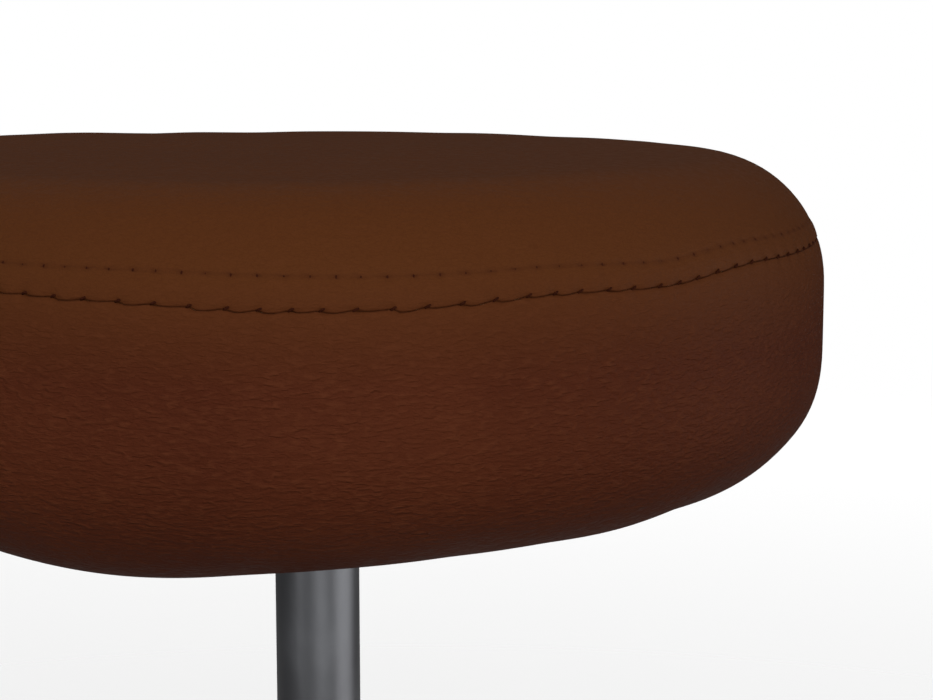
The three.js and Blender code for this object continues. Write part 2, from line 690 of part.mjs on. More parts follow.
// A hexagon head with a wide flange, up through the plate into its T-nut.
function plateBolt() {
  const seat = PLATE_Z - GAP;
  const flangeR = 7;
  const hexagonR = 5.5;
  const shank = turned(
    [[0, seat - 1.5], [flangeR, seat - 1.5], [flangeR, seat], [BOLT_R, seat], [BOLT_R, BOARD_TOP - 1],
     [0, BOARD_TOP - 1]],
    PIN_SIDES,
  );
  return join(shank, rod(hexagonR, seat - 5, seat - 1, 6));
}

add("seat_board", seatBoard(), plywood);
BOLT_PLACES.forEach(([x, y], i) => {
  add(`t_nut_${i + 1}`, tNut(), zinc).position.set(x, y, 0);
  add(`plate_bolt_${i + 1}`, plateBolt(), zinc).position.set(x, y, 0);
});

// Cloth under the board: it drops below the leather's hem at its rim.
function dustCover() {
  const low = BOARD_Z - LEATHER - 2 * GAP - COVER_THICKNESS;
  const high = BOARD_Z - GAP - COVER_THICKNESS;
  const disc = turned(
    [[0, high], [HEM_R - 2.5, high], [HEM_R, low], [COVER_R, low], [COVER_R, low + COVER_THICKNESS],
     [HEM_R - 0.5, low + COVER_THICKNESS], [HEM_R - 3, high + COVER_THICKNESS], [0, high + COVER_THICKNESS]],
    SEAT_SIDES,
  );
  const opening = keyhole(KEYHOLE_MARGIN, low - 9, BOARD_Z + 9);
  return cut(disc, opening, ...boltHoles(BOLT_R + 1, low - 9, BOARD_Z + 9));
}

add("dust_cover", dustCover(), dustCloth);

// ---------------------------------------------------------------- upholstery

// Quarter of a superellipse, from straight up (share 0) round to straight out (share 1).
function quarter(centre, reach, power, share) {
  const angle = (share * Math.PI) / 2;
  return [
    centre[0] + reach[0] * Math.sin(angle) ** (2 / power),
    centre[1] + reach[1] * Math.cos(angle) ** (2 / power),
  ];
}

const steps = (count) => Array.from({ length: count }, (_, i) => (i + 1) / count);

// The cushion's outside, from the middle of the crown down to the seam.
const upperOutline = () => {
  const top = CUSHION_TOP - CROWN;
  const reach = [CUSHION_R - CROWN_R, top - SHOULDER_FOOT];
  const shoulder = steps(9)
    .map((share) => quarter([CROWN_R, SHOULDER_FOOT], reach, 2, share))
    .filter(([, z]) => z > SEAM_Z + 2);
  const across = (SEAM_Z - SHOULDER_FOOT) / reach[1];
  const seamR = CROWN_R + reach[0] * Math.sqrt(1 - across ** 2);
  const easing = [(FLAT_R + CROWN_R) / 2, CUSHION_TOP - CROWN / 4];
  return [[0, CUSHION_TOP], [FLAT_R, CUSHION_TOP], easing, [CROWN_R, top], ...shoulder, [seamR, SEAM_Z]];
};

// From the seam down the side, round the belly and in under the board.
const lowerOutline = () => {
  const reach = [CUSHION_R - BELLY_R, SEAT_Z - BELLY_TOP];
  const belly = steps(7).map((share) =>
    quarter([BELLY_R, BELLY_TOP], reach, BELLY_POWER, 1 - share * BELLY_SHARE),
  );
  const hem = BOARD_Z - GAP - LEATHER;
  return [
    upperOutline().at(-1), [CUSHION_R, SHOULDER_FOOT], [CUSHION_R, BELLY_TOP], ...belly,
    [ROLL_INNER_R + 5, SEAT_Z + 6.3], [ROLL_INNER_R + 1.4, SEAT_Z + 8.8], [ROLL_INNER_R, hem], [HEM_R, hem],
  ];
};

// The same outline moved inwards, to the right of its direction of travel.
function inset(outline, distance) {
  return outline.map((point, i) => {
    const before = outline[Math.max(i - 1, 0)];
    const after = outline[Math.min(i + 1, outline.length - 1)];
    const along = new THREE.Vector2(after[0] - before[0], after[1] - before[1]).normalize();
    const r = point[0] === 0 ? 0 : point[0] + along.y * distance;
    return [r, point[1] - along.x * distance];
  });
}

function topPanel() {
  const outside = upperOutline();
  const edge = outside.at(-1);
  outside[outside.length - 1] = [edge[0] - GAP / 4, edge[1] + GAP / 2];
  return turned([...outside, ...inset(outside, LEATHER).reverse()], SEAT_SIDES);
}

function sideBand() {
  const outside = lowerOutline();
  outside[0] = [outside[0][0], outside[0][1] - GAP / 2];
  return turned([...outside, ...inset(outside, LEATHER).reverse()], SEAT_SIDES);
}

// Fills the leather and wraps the board's edge.
function foamCushion() {
  const depth = LEATHER + GAP;
  const upper = inset(upperOutline(), depth).slice(0, -1);
  const lower = inset(lowerOutline(), depth).slice(1, -2);
  return turned(
    [...upper, ...lower, [ROLL_INNER_R + 2, BOARD_Z - GAP], [BOARD_R + GAP, BOARD_Z - GAP],
     [BOARD_R + GAP, BOARD_TOP + GAP], [0, BOARD_TOP + GAP]],
    SEAT_SIDES,
  );
}

add("foam_cushion", foamCushion(), foam);
add("top_panel", topPanel(), leather);
add("side_band", sideBand(), leather);

export default stool;
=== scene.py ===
"""Looks of the dentist stool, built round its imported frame. Metres, +Z up, in the frame's own axes."""
import json
import math

import bmesh
import bpy
import numpy as np
from mathutils import Matrix, Vector


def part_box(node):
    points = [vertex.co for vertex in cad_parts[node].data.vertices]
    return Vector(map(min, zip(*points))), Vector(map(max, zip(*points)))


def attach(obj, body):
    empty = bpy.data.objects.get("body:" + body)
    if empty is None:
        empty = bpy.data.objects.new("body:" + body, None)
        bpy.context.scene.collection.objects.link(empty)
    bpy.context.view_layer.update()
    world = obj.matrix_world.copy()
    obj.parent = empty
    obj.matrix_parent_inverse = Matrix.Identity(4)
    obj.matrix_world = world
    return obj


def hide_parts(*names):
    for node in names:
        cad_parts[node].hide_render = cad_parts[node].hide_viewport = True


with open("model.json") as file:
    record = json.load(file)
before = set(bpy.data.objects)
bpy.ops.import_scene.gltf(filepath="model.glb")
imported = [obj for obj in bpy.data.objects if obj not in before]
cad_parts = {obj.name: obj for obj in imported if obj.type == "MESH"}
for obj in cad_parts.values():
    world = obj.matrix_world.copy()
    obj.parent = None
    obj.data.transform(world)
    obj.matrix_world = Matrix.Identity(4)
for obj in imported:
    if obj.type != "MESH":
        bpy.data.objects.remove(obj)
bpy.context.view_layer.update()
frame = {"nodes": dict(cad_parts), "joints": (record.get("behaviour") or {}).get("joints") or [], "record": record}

MM = 0.001
TURN = 2 * math.pi


def low(node):
    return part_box(node)[0]


def high(node):
    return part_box(node)[1]


# ------------ sizes, from the frame

SEAT_R = high("side_band").x
SEAT_TOP = high("top_panel").z
SEAM_Z = high("side_band").z
BOARD_UNDER = low("seat_board").z
DATUM = SEAT_TOP - 117 * MM  # the plane under the cushion that its outline is measured from
HEM_R = 98 * MM
ROLL_INNER_R = 106.5 * MM
LEATHER = 1.2 * MM


# ------------ shader kit


class Graph:
    """The shader nodes of a world or a material under construction."""

    def __init__(self, owner):
        owner.use_nodes = True
        self.nodes = owner.node_tree.nodes
        self.links = owner.node_tree.links

    def add(self, kind, inputs, output=0, **settings):
        """A new node. Each input is a value or another node's output; one of its own outputs comes back."""
        node = self.nodes.new(f"ShaderNode{kind}")
        for name, value in settings.items():
            setattr(node, name, value)
        for name, value in inputs.items():
            if isinstance(value, bpy.types.NodeSocket):
                self.links.new(value, node.inputs[name])
            else:
                node.inputs[name].default_value = value
        return node.outputs[output]

    def add_output(self, kind, shader):
        """The World's or the Material's output, with its shader linked to it."""
        self.links.new(shader, self.nodes.new(f"ShaderNodeOutput{kind}").inputs[0])

    def remap(self, value, from_low, from_high, to_low, to_high, curve="LINEAR"):
        limits = {"From Min": from_low, "From Max": from_high, "To Min": to_low, "To Max": to_high}
        return self.add("MapRange", {"Value": value, **limits}, interpolation_type=curve)

    def combine(self, operation, first, second):
        return self.add("Math", {0: first, 1: second}, operation=operation)

    def split_height(self, place):
        return self.add("SeparateXYZ", {0: place}, "Z")

    def ramp(self, value, *stops):
        """A colour from a value between 0 and 1; each stop is (position, linear colour)."""
        colour = self.add("ValToRGB", {0: value})
        elements = colour.node.color_ramp.elements
        for position, shade in stops[1:-1]:
            elements.new(position).color = (*shade, 1)
        for end in (0, -1):
            elements[end].position = stops[end][0]
            elements[end].color = (*stops[end][1], 1)
        return colour


class Surface(Graph):
    """A Principled material under construction, with short calls for the nodes that it needs."""

    def __init__(self, name, colour, roughness, metallic=0.0, specular=0.5, tint=(1, 1, 1)):
        self.material = bpy.data.materials.new(name)
        super().__init__(self.material)
        self.shader = self.nodes["Principled BSDF"].inputs
        self.place = self.add("TexCoord", {}, "Object")
        self.shader["Base Color"].default_value = (*srgb(*colour), 1)
        self.shader["Roughness"].default_value = roughness
        self.shader["Metallic"].default_value = metallic
        self.shader["Specular IOR Level"].default_value = specular
        self.shader["Specular Tint"].default_value = (*tint, 1)
        self.height = None

    def stretched(self, scale, place=None):
        return self.add("Mapping", {"Vector": place or self.place, "Scale": scale})

    def wandering(self, scale, reach):
        """Object coordinates pushed about by a noise, up to about the reach in metres."""
        noise = self.add("TexNoise", {"Vector": self.place, "Scale": scale}, "Color")
        push = {0: noise, 1: (2 * reach, 2 * reach, 2 * reach), 2: self.place}
        return self.add("VectorMath", push, operation="MULTIPLY_ADD")

    def noise(self, scale, detail=3.0, stretch=(1, 1, 1), warp=0.0):
        place = self.stretched(stretch)
        return self.add("TexNoise", {"Vector": place, "Scale": scale, "Detail": detail, "Distortion": warp})

    def cells(self, scale, stretch=(1, 1, 1), feature="DISTANCE_TO_EDGE", place=None):
        place = self.stretched(stretch, place)
        return self.add("TexVoronoi", {"Vector": place, "Scale": scale}, "Distance", feature=feature)

    def attribute(self, name):
        return self.add("Attribute", {}, "Fac", attribute_name=name)

    def colours(self, value, *stops):
        """Base colour from a value between 0 and 1; each stop is (position, colour on a screen)."""
        colour = self.ramp(value, *((position, srgb(*shade)) for position, shade in stops))
        self.links.new(colour, self.shader["Base Color"])
        return colour

    def tint(self, colour, value, shade):
        """Mix the base colour towards the shade where the value is 1."""
        mixed = self.add("Mix", {"Factor": value, 6: colour, 7: (*srgb(*shade), 1)}, 2, data_type="RGBA")
        self.links.new(mixed, self.shader["Base Color"])
        return mixed

    def roughness(self, value, smooth, rough):
        self.links.new(self.remap(value, 0.3, 0.7, smooth, rough), self.shader["Roughness"])

    def bump(self, value, distance, strength=1.0):
        """Add relief, in metres from the value's 0 to its 1."""
        inputs = {"Height": value, "Distance": distance, "Strength": strength}
        if self.height is not None:
            inputs["Normal"] = self.height
        self.height = self.add("Bump", inputs)
        self.links.new(self.height, self.shader["Normal"])


def srgb(red, green, blue):
    """Linear colour from the 0-255 values that a screen shows."""
    return tuple(
        v / 12.92 if v <= 0.04045 else ((v + 0.055) / 1.055) ** 2.4
        for v in (red / 255, green / 255, blue / 255)
    )


def grey(shade):
    return (shade, shade, shade)


# ------------ camera, floor and light


def add_object(name, data):
    item = bpy.data.objects.new(name, data)
    bpy.context.collection.objects.link(item)
    return item


CAMERA_LENS = 80.03  # millimetres, for a sensor 36 mm wide
CAMERA_AWAY = 0.676  # in front of the stool's axis
CAMERA_HEIGHT = 0.154  # above the datum
CAMERA_DOWN = 8.79  # degrees that it looks down
CAMERA_RIGHT = 4.23  # degrees that it looks to the right of the axis


def make_camera():
    """The photograph's view: a little above the cushion and looking slightly down on it."""
    data = bpy.data.cameras.new("camera")
    data.sensor_width = 36
    data.lens = CAMERA_LENS
    data.clip_start = 0.02
    camera = add_object("camera", data)
    camera.location = (0, -CAMERA_AWAY, DATUM + CAMERA_HEIGHT)
    camera.rotation_euler = (math.radians(90 - CAMERA_DOWN), 0, math.radians(-CAMERA_RIGHT))
    bpy.context.scene.camera = camera


def make_area_light(name, place, target, size, power, glossy=True, diffuse=True):
    data = bpy.data.lights.new(name, "AREA")
    data.shape = "DISK"
    data.size = size
    data.energy = power
    light = add_object(name, data)
    light.visible_glossy = glossy
    light.visible_diffuse = diffuse
    light.location = place
    light.rotation_euler = (Vector(target) - Vector(place)).to_track_quat("-Z", "Y").to_euler()


def make_world():
    """White to the camera; to everything else a grey studio, bright above and dark towards the ground."""
    world = bpy.data.worlds.new("studio")
    bpy.context.scene.world = world
    graph = Graph(world)
    graph.nodes.clear()
    place = graph.add("TexCoord", {}, "Generated")
    height = graph.remap(graph.split_height(place), -1, 1, 0, 1)
    shades = ((0, 0.06), (0.48, 0.06), (0.64, 0.09), (0.8, 0.7), (1, 0.8))
    sky = graph.ramp(height, *((position, grey(shade)) for position, shade in shades))
    lit = graph.add("Background", {"Color": sky, "Strength": 0.7})
    seen = graph.add("Background", {"Color": (1, 1, 1, 1)})
    by_camera = graph.add("LightPath", {}, "Is Camera Ray")
    graph.add_output("World", graph.add("MixShader", {0: by_camera, 1: lit, 2: seen}))


def floor_material():
    """Pale, thin enough to let the white show through, and fading out towards the disc's rim."""
    material = bpy.data.materials.new("floor")
    graph = Graph(material)
    graph.nodes.clear()
    place = graph.add("TexCoord", {}, "Object")
    distance = graph.add("VectorMath", {0: place}, "Value", operation="LENGTH")
    fade = graph.remap(distance, 0.35, 2.6, 0.62, 1.0, "SMOOTHSTEP")
    paint = graph.add("BsdfDiffuse", {"Color": (*grey(0.88), 1)})
    clear = graph.add("BsdfTransparent", {})
    graph.add_output("Material", graph.add("MixShader", {0: fade, 1: paint, 2: clear}))
    return material


def make_floor():
    rings = bmesh.new()
    bmesh.ops.create_circle(rings, cap_ends=True, segments=96, radius=3)
    mesh = finished("floor", rings)
    mesh.materials.append(floor_material())
    add_object("floor", mesh)


def light_studio():
    """Soft lights from the front, the left and behind, and two panels that only reflections show."""
    middle = (0, 0, SEAT_TOP - 60 * MM)
    tube = (0, 0, 0.3)
    make_area_light("key", (0.4, -2.4, SEAT_TOP + 0.5), middle, 2.4, 60)
    make_area_light("left", (-2.1, -1.2, SEAT_TOP + 0.9), middle, 1.4, 10)
    make_area_light("back", (0.9, 2.4, SEAT_TOP - 0.1), middle, 1.8, 28, glossy=False)
    make_area_light("right_panel", (1.95, -0.5, 0.4), tube, 2.5, 43, diffuse=False)
    make_area_light("left_panel", (-1.6, -1.5, 0.4), tube, 0.8, 7, diffuse=False)


# ------------ materials


def leather_material():
    """Dark brown, with a pebbled grain; creases run round its sides, and fade where the top is taut."""
    surface = Surface("leather", (82, 46, 27), 0.5, specular=0.015, tint=(0.9, 0.6, 0.45))
    cloudy = surface.noise(16, 4, warp=0.3)
    colour = surface.colours(cloudy, (0.35, (67, 31, 18)), (0.5, (70, 33, 19)), (0.65, (73, 35, 20)))
    height = surface.remap(surface.split_height(surface.place), SEAM_Z - 20 * MM, SEAM_Z + 8 * MM, 0, 1)
    # painted light: the top is mixed towards a lighter, yellower brown, standing in for the warmer light that
    # falls on it from above
    colour = surface.tint(colour, height, (77, 42, 20))
    pebbles = surface.cells(640, (1, 1, 2.4), place=surface.wandering(420, 0.9 * MM))
    creases = surface.noise(320, 1.5, (1, 1, 3.1), warp=0.5)
    folds = surface.noise(90, 3, (1, 1, 4.0), warp=0.4)
    slack = surface.remap(height, 0, 1, 1, 0.3)
    crests = surface.combine("MULTIPLY", surface.remap(creases, 0.5, 0.75, 0, 0.24), slack)
    # painted shade: darker in the crevices between the grain's pebbles
    colour = surface.tint(colour, surface.remap(pebbles, 0.0, 0.12, 0.2, 0.0), (50, 20, 10))
    # lighter crests of the creases: partly the paler rubbed leather there, partly a painted highlight
    colour = surface.tint(colour, crests, (98, 55, 34))
    # painted shade: darker along the seam's groove and in the needle holes of the topstitching
    surface.tint(colour, surface.attribute("groove"), (40, 14, 9))
    surface.roughness(creases, 0.42, 0.58)
    firmness = surface.remap(height, 0, 1, 1, 0.55)
    grain = surface.combine("MULTIPLY", surface.remap(pebbles, 0.0, 0.2, 0, 1), firmness)
    surface.bump(grain, 0.05 * MM, 0.8)
    surface.bump(surface.combine("MULTIPLY", surface.remap(creases, 0.3, 0.75, 0, 1), slack), 0.3 * MM)
    surface.bump(surface.combine("MULTIPLY", folds, slack), 0.22 * MM)
    return surface.material


def thread_material():
    surface = Surface("thread", (42, 16, 9), 0.85, specular=0.01)
    ply = surface.noise(2600, 2, (1, 1, 2))
    surface.colours(ply, (0.3, (34, 12, 7)), (0.7, (56, 25, 14)))
    surface.bump(ply, 0.08 * MM)
    return surface.material


def foam_material():
    surface = Surface("foam", (214, 203, 160), 0.95, specular=0.1)
    cells = surface.cells(900)
    # painted shade: darker in the grooves between the foam's cells, where its bump is lowest
    surface.colours(cells, (0.0, (186, 172, 126)), (0.4, (222, 212, 172)))
    surface.bump(cells, 0.4 * MM)
    return surface.material


def plywood_material():
    surface = Surface("plywood", (185, 141, 90), 0.6)
    grain = surface.noise(60, 5, (1, 9, 30), warp=1.2)
    surface.colours(grain, (0.25, (150, 108, 64)), (0.55, (190, 148, 98)), (0.8, (206, 168, 118)))
    surface.roughness(grain, 0.55, 0.75)
    surface.bump(grain, 0.15 * MM)
    return surface.material


def dust_cloth_material():
    surface = Surface("dust_cloth", (24, 24, 27), 0.92, specular=0.15)
    dimples = surface.cells(420, feature="F1")
    fibres = surface.noise(1300, 4)
    surface.colours(fibres, (0.3, (16, 16, 18)), (0.7, (40, 40, 44)))
    surface.bump(dimples, 0.25 * MM)
    surface.bump(fibres, 0.1 * MM)
    return surface.material


def dark_steel_material():
    """Drawn tube, dark plated, with fine marks along it."""
    surface = Surface("dark_steel", (74, 75, 78), 0.4, metallic=0.85)
    drawn = surface.noise(700, 4, (1, 1, 0.02))
    smears = surface.noise(26, 4, (1, 1, 0.5), warp=0.8)
    surface.colours(smears, (0.3, (84, 84, 87)), (0.55, (96, 97, 100)), (0.8, (112, 113, 117)))
    surface.roughness(smears, 0.34, 0.46)
    surface.bump(drawn, 0.012 * MM)
    return surface.material


def black_steel_material():
    """Powder coat with its slight orange peel and a film of dust."""
    surface = Surface("black_steel", (30, 30, 32), 0.48, specular=0.45)
    peel = surface.noise(650, 2)
    dust = surface.noise(22, 4, warp=0.5)
    surface.colours(dust, (0.35, (25, 25, 27)), (0.75, (42, 42, 44)))
    surface.roughness(dust, 0.42, 0.58)
    surface.bump(peel, 0.12 * MM)
    return surface.material


def chrome_material():
    surface = Surface("chrome", (214, 216, 220), 0.07, metallic=1.0)
    smears = surface.noise(18, 5, (1, 1, 0.4), warp=1.0)
    surface.roughness(smears, 0.05, 0.14)
    surface.bump(surface.noise(900, 2, (1, 1, 0.05)), 0.004 * MM)
    return surface.material


def zinc_material():
    surface = Surface("zinc", (168, 172, 175), 0.34, metallic=1.0)
    spangle = surface.cells(160, feature="F1")
    scratches = surface.noise(900, 3, (1, 1, 0.08))
    surface.colours(spangle, (0.1, (176, 178, 178)), (0.7, (150, 153, 156)))
    surface.roughness(scratches, 0.28, 0.44)
    surface.bump(scratches, 0.01 * MM)
    return surface.material


def aluminium_material():
    """Polished casting: bright, with the faint waviness that polishing leaves."""
    surface = Surface("aluminium", (206, 208, 211), 0.2, metallic=1.0)
    waves = surface.noise(34, 3, warp=0.6)
    lines = surface.noise(800, 3, (1, 1, 0.2))
    surface.roughness(waves, 0.17, 0.28)
    surface.bump(waves, 0.06 * MM, 0.5)
    surface.bump(lines, 0.006 * MM)
    return surface.material


def nylon_material():
    """Moulded black plastic with a spark-eroded texture."""
    surface = Surface("nylon", (28, 28, 29), 0.5, specular=0.4)
    grain = surface.cells(1500, feature="F1")
    scuffs = surface.noise(60, 5, warp=0.8)
    surface.colours(scuffs, (0.35, (24, 24, 25)), (0.8, (44, 44, 45)))
    surface.roughness(scuffs, 0.42, 0.6)
    surface.bump(grain, 0.05 * MM)
    return surface.material


def tread_material():
    surface = Surface("tread", (82, 84, 87), 0.62, specular=0.35)
    dirt = surface.noise(120, 5, warp=0.6)
    surface.colours(dirt, (0.3, (58, 59, 61)), (0.6, (84, 86, 89)), (0.8, (98, 100, 103)))
    surface.roughness(dirt, 0.55, 0.75)
    surface.bump(dirt, 0.06 * MM)
    return surface.material


def rubber_material():
    surface = Surface("rubber", (22, 22, 22), 0.82, specular=0.25)
    grain = surface.noise(900, 3)
    surface.colours(grain, (0.3, (16, 16, 16)), (0.8, (34, 34, 34)))
    surface.bump(grain, 0.05 * MM)
    return surface.material


MATERIALS = {
    make.__name__.removesuffix("_material"): make()
    for make in (
        leather_material, foam_material, plywood_material, dust_cloth_material, dark_steel_material,
        black_steel_material, chrome_material, zinc_material, aluminium_material, nylon_material,
        tread_material, rubber_material,
    )
}
THREAD = thread_material()
SLOTS = {entry["node"]: entry["material_slot"] for entry in frame["record"]["subparts"]}


# ------------ piece kit


def place_piece(name, mesh, slot, body, replaced=(), material=None):
    """Turn a mesh into a piece of the stool: its material, its CAD body and the nodes it stands for."""
    piece = add_object(name, mesh)
    mesh.materials.clear()
    mesh.materials.append(material or MATERIALS[slot])
    mesh.polygons.foreach_set("use_smooth", [True] * len(mesh.polygons))
    mesh.update()
    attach(piece, body)
    if replaced:
        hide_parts(*replaced)
    return piece


def grid_mesh(name, points, cap_first=False, cap_last=False):
    """A tube from rings of points, points[ring][place round it]; a capped end is closed with one face."""
    rings, around = points.shape[:2]
    index = np.arange(rings * around).reshape(rings, around)
    across = np.roll(index, -1, axis=1)
    faces = np.stack([index[:-1], across[:-1], across[1:], index[1:]], axis=-1).reshape(-1, 4).tolist()
    if cap_first:
        faces.append(index[0][::-1].tolist())
    if cap_last:
        faces.append(index[-1].tolist())
    mesh = bpy.data.meshes.new(name)
    mesh.from_pydata(points.reshape(-1, 3).tolist(), [], faces)
    mesh.update()
    return mesh


def turned_mesh(name, outline, segments):
    """Revolve (radius, height) points about Z; an outline that doesn't end on the axis closes on itself."""
    work = bmesh.new()
    turn = np.arange(segments) * TURN / segments
    rings = []
    for radius, height in outline:
        angles = turn if radius else turn[:1]
        rings.append([work.verts.new((radius * math.cos(a), radius * math.sin(a), height)) for a in angles])
    pairs = list(zip(rings, rings[1:]))
    if outline[0][0] or outline[-1][0]:
        pairs.append((rings[-1], rings[0]))
    for one, other in pairs:
        for i in range(segments):
            j = (i + 1) % segments
            corners = [one[i % len(one)], one[j % len(one)], other[j % len(other)], other[i % len(other)]]
            unique = list(dict.fromkeys(corners))
            if len(unique) > 2:
                work.faces.new(unique)
    bmesh.ops.recalc_face_normals(work, faces=work.faces)
    keep_corners(work)
    return finished(name, work)


def finished(name, work):
    """The mesh of a bmesh, which is freed."""
    mesh = bpy.data.meshes.new(name)
    work.to_mesh(mesh)
    work.free()
    return mesh


def keep_corners(work, degrees=35):
    """Edges sharper than this stay sharp under smooth shading."""
    limit = math.radians(degrees)
    for edge in work.edges:
        edge.smooth = edge.calc_face_angle(0) < limit


def bevelled(piece, width, segments=3, angle=35):
    modifier = piece.modifiers.new("bevel", "BEVEL")
    modifier.width = width
    modifier.segments = segments
    modifier.limit_method = "ANGLE"
    modifier.angle_limit = math.radians(angle)
    return piece


def rounded(outline, radius, steps=4):
    """The outline with each corner replaced by a curve of the given reach; points on the axis stay."""
    result = []
    count = len(outline)
    for i, corner in enumerate(outline):
        if corner[0] == 0:
            result.append(corner)
            continue
        corner = Vector(corner)
        before = Vector(outline[i - 1]) - corner
        after = Vector(outline[(i + 1) % count]) - corner
        reach = min(radius, before.length * 0.45, after.length * 0.45)
        start = corner + before.normalized() * reach
        end = corner + after.normalized() * reach
        for step in range(steps + 1):
            share = step / steps
            result.append(
                tuple((1 - share) ** 2 * start + 2 * share * (1 - share) * corner + share**2 * end)
            )
    return result


def swept_mesh(name, line, radius, sides=20):
    """A round bar along a line of points, with flat ends."""
    turn = np.arange(sides) * TURN / sides
    side = Vector((0, 1, 0))
    rows = []
    for i, point in enumerate(line):
        along = (line[min(i + 1, len(line) - 1)] - line[max(i - 1, 0)]).normalized()
        side = (side - along * side.dot(along)).normalized()
        up = along.cross(side)
        rows.append([point + radius * (math.cos(a) * side + math.sin(a) * up) for a in turn])
    return grid_mesh(name, np.array(rows), cap_first=True, cap_last=True)


# ------------ cushion: its outline

CROWN = 2.0 * MM
CROWN_R = 127 * MM
CROWN_POWER = 2.5
SHOULDER_FOOT = DATUM + 75.5 * MM
BELLY_TOP = DATUM + 55.5 * MM
BELLY_R = 48 * MM
BELLY_POWER = 2.54
BELLY_END_R = 114 * MM
TOPSTITCH_ABOVE = 6.5 * MM  # from the seam up to the row of topstitching, along the leather
TOPSTITCH_RISE = 2.4 * MM  # how much further up the row runs at the front


def superellipse(middle_r, middle_z, reach_r, reach_z, power, angle):
    """(radius, height) points of a superellipse, at angles from the way in which reach_z points."""
    r = middle_r + reach_r * np.sin(angle) ** (2 / power)
    z = middle_z + reach_z * np.cos(angle) ** (2 / power)
    return np.stack([r, z], axis=1)


def cushion_outline():
    """The cover's section from the top's middle to the hem, as evenly spaced points and their distances."""
    crown_r = np.linspace(0, CROWN_R, 60)[:-1]
    crown = np.stack([crown_r, SEAT_TOP - CROWN * (crown_r / CROWN_R) ** CROWN_POWER], axis=1)
    over = np.linspace(0, math.pi / 2, 60)
    rise = SEAT_TOP - CROWN - SHOULDER_FOOT
    shoulder = superellipse(CROWN_R, SHOULDER_FOOT, SEAT_R - CROWN_R, rise, 2, over)
    end = math.asin(((BELLY_END_R - BELLY_R) / (SEAT_R - BELLY_R)) ** (BELLY_POWER / 2))
    below = np.linspace(math.pi / 2, end, 70)
    belly = superellipse(BELLY_R, BELLY_TOP, SEAT_R - BELLY_R, DATUM - BELLY_TOP, BELLY_POWER, below)
    under = BOARD_UNDER - LEATHER
    roll = [
        (ROLL_INNER_R + 3.6 * MM, DATUM + 5.9 * MM),
        (ROLL_INNER_R + 1.2 * MM, DATUM + 7.6 * MM),
        (ROLL_INNER_R + 0.1 * MM, DATUM + 10.4 * MM),
        (ROLL_INNER_R - 1.2 * MM, under - 0.4 * MM),
        (ROLL_INNER_R - 3.5 * MM, under),
        (HEM_R, under),
    ]
    return evenly_spaced(np.concatenate([crown, shoulder, belly, roll]), 0.5 * MM)


def evenly_spaced(points, step):
    """Even points on the line through the given ones, smoothed at its joins, and their distances along it."""
    lengths = np.concatenate([[0], np.cumsum(np.linalg.norm(np.diff(points, axis=0), axis=1))])
    stations = np.linspace(0, lengths[-1], int(lengths[-1] / step) + 1)
    even = np.stack([np.interp(stations, lengths, points[:, k]) for k in (0, 1)], axis=1)
    reach = 9  # points averaged on each side, to round off the joins between the curves
    mirrored = even[1 : reach + 1][::-1] * (-1, 1)
    padded = np.concatenate([mirrored, even, np.repeat(even[-1:], reach, axis=0)])
    kernel = np.hanning(2 * reach + 3)[1:-1]
    kernel /= kernel.sum()
    smooth = np.stack([np.convolve(padded[:, k], kernel, "valid") for k in (0, 1)], axis=1)
    smooth[0] = even[0]
    smooth[-1] = even[-1]
    return smooth, stations


OUTLINE, DISTANCES = cushion_outline()


def bell(value, width):
    """1 at a value of 0, falling smoothly to almost 0 at two widths away."""
    return np.exp(-((value / width) ** 2))


def climb(value, start, end):
    """0 up to the start, 1 from the end on; the end may lie below the start."""
    return np.clip((value - start) / (end - start), 0, 1)


def outline_at(distance):
    """(radius, height) and the outward normal of the section, at distances along it from the top's middle."""
    r = np.interp(distance, DISTANCES, OUTLINE[:, 0])
    z = np.interp(distance, DISTANCES, OUTLINE[:, 1])
    slope_r = np.interp(distance, DISTANCES, np.gradient(OUTLINE[:, 0], DISTANCES))
    slope_z = np.interp(distance, DISTANCES, np.gradient(OUTLINE[:, 1], DISTANCES))
    size = np.hypot(slope_r, slope_z)
    return r, z, -slope_z / size, slope_r / size


def distance_at_height(height):
    """How far along the section the shoulder passes a height."""
    side = OUTLINE[:, 0] > CROWN_R
    upper = side & (OUTLINE[:, 1] > DATUM + 60 * MM)
    return float(np.interp(-height, -OUTLINE[upper, 1], DISTANCES[upper]))


SEAM_AT = distance_at_height(SEAM_Z)  # distances along the section
HEM_AT = float(DISTANCES[-1])
SEAM_WAVES = ((-16, 7, 0.5), (21, 9, 1.3), (36, 5, -0.7), (48, 8, 1.1))  # bumps, where sewing pulled it


def bump_round(angle, middle, width):
    """1 at an angle round the seat, falling smoothly to 0 away from it; middle and width are in degrees."""
    away = (angle - math.radians(middle) + math.pi) % TURN - math.pi
    return bell(away, math.radians(width))


def bumps_round(angle, bumps):
    """The sum of bumps that are each (middle, width, height): degrees, degrees and millimetres."""
    return sum(height * MM * bump_round(angle, middle, width) for middle, width, height in bumps)


def seam_drop(angle):
    """How much lower the seam runs than at the front, by angle from the front (-Y) towards +X."""
    height = (
        -0.51 * (np.cos(angle) - 1)
        - 1.72 * (np.cos(2 * angle) - 1)
        - 1.57 * (np.cos(3 * angle) - 1)
        - 1.45 * np.sin(angle)
    )
    return -height * MM - bumps_round(angle, SEAM_WAVES)


def topstitch_above(angle):
    return TOPSTITCH_ABOVE + TOPSTITCH_RISE * bump_round(angle, -6, 28)


# ------------ cushion: shapes on the outline

sewing = np.random.default_rng(28)


def stitch_angles(pitch, jitter):
    """Where the needle went through, all round the seat, at nearly even distances."""
    count = round(TURN * SEAT_R / pitch)
    steps = 1 + jitter * (sewing.random(count) * 2 - 1)
    return np.cumsum(steps) / steps.sum() * TURN - math.pi


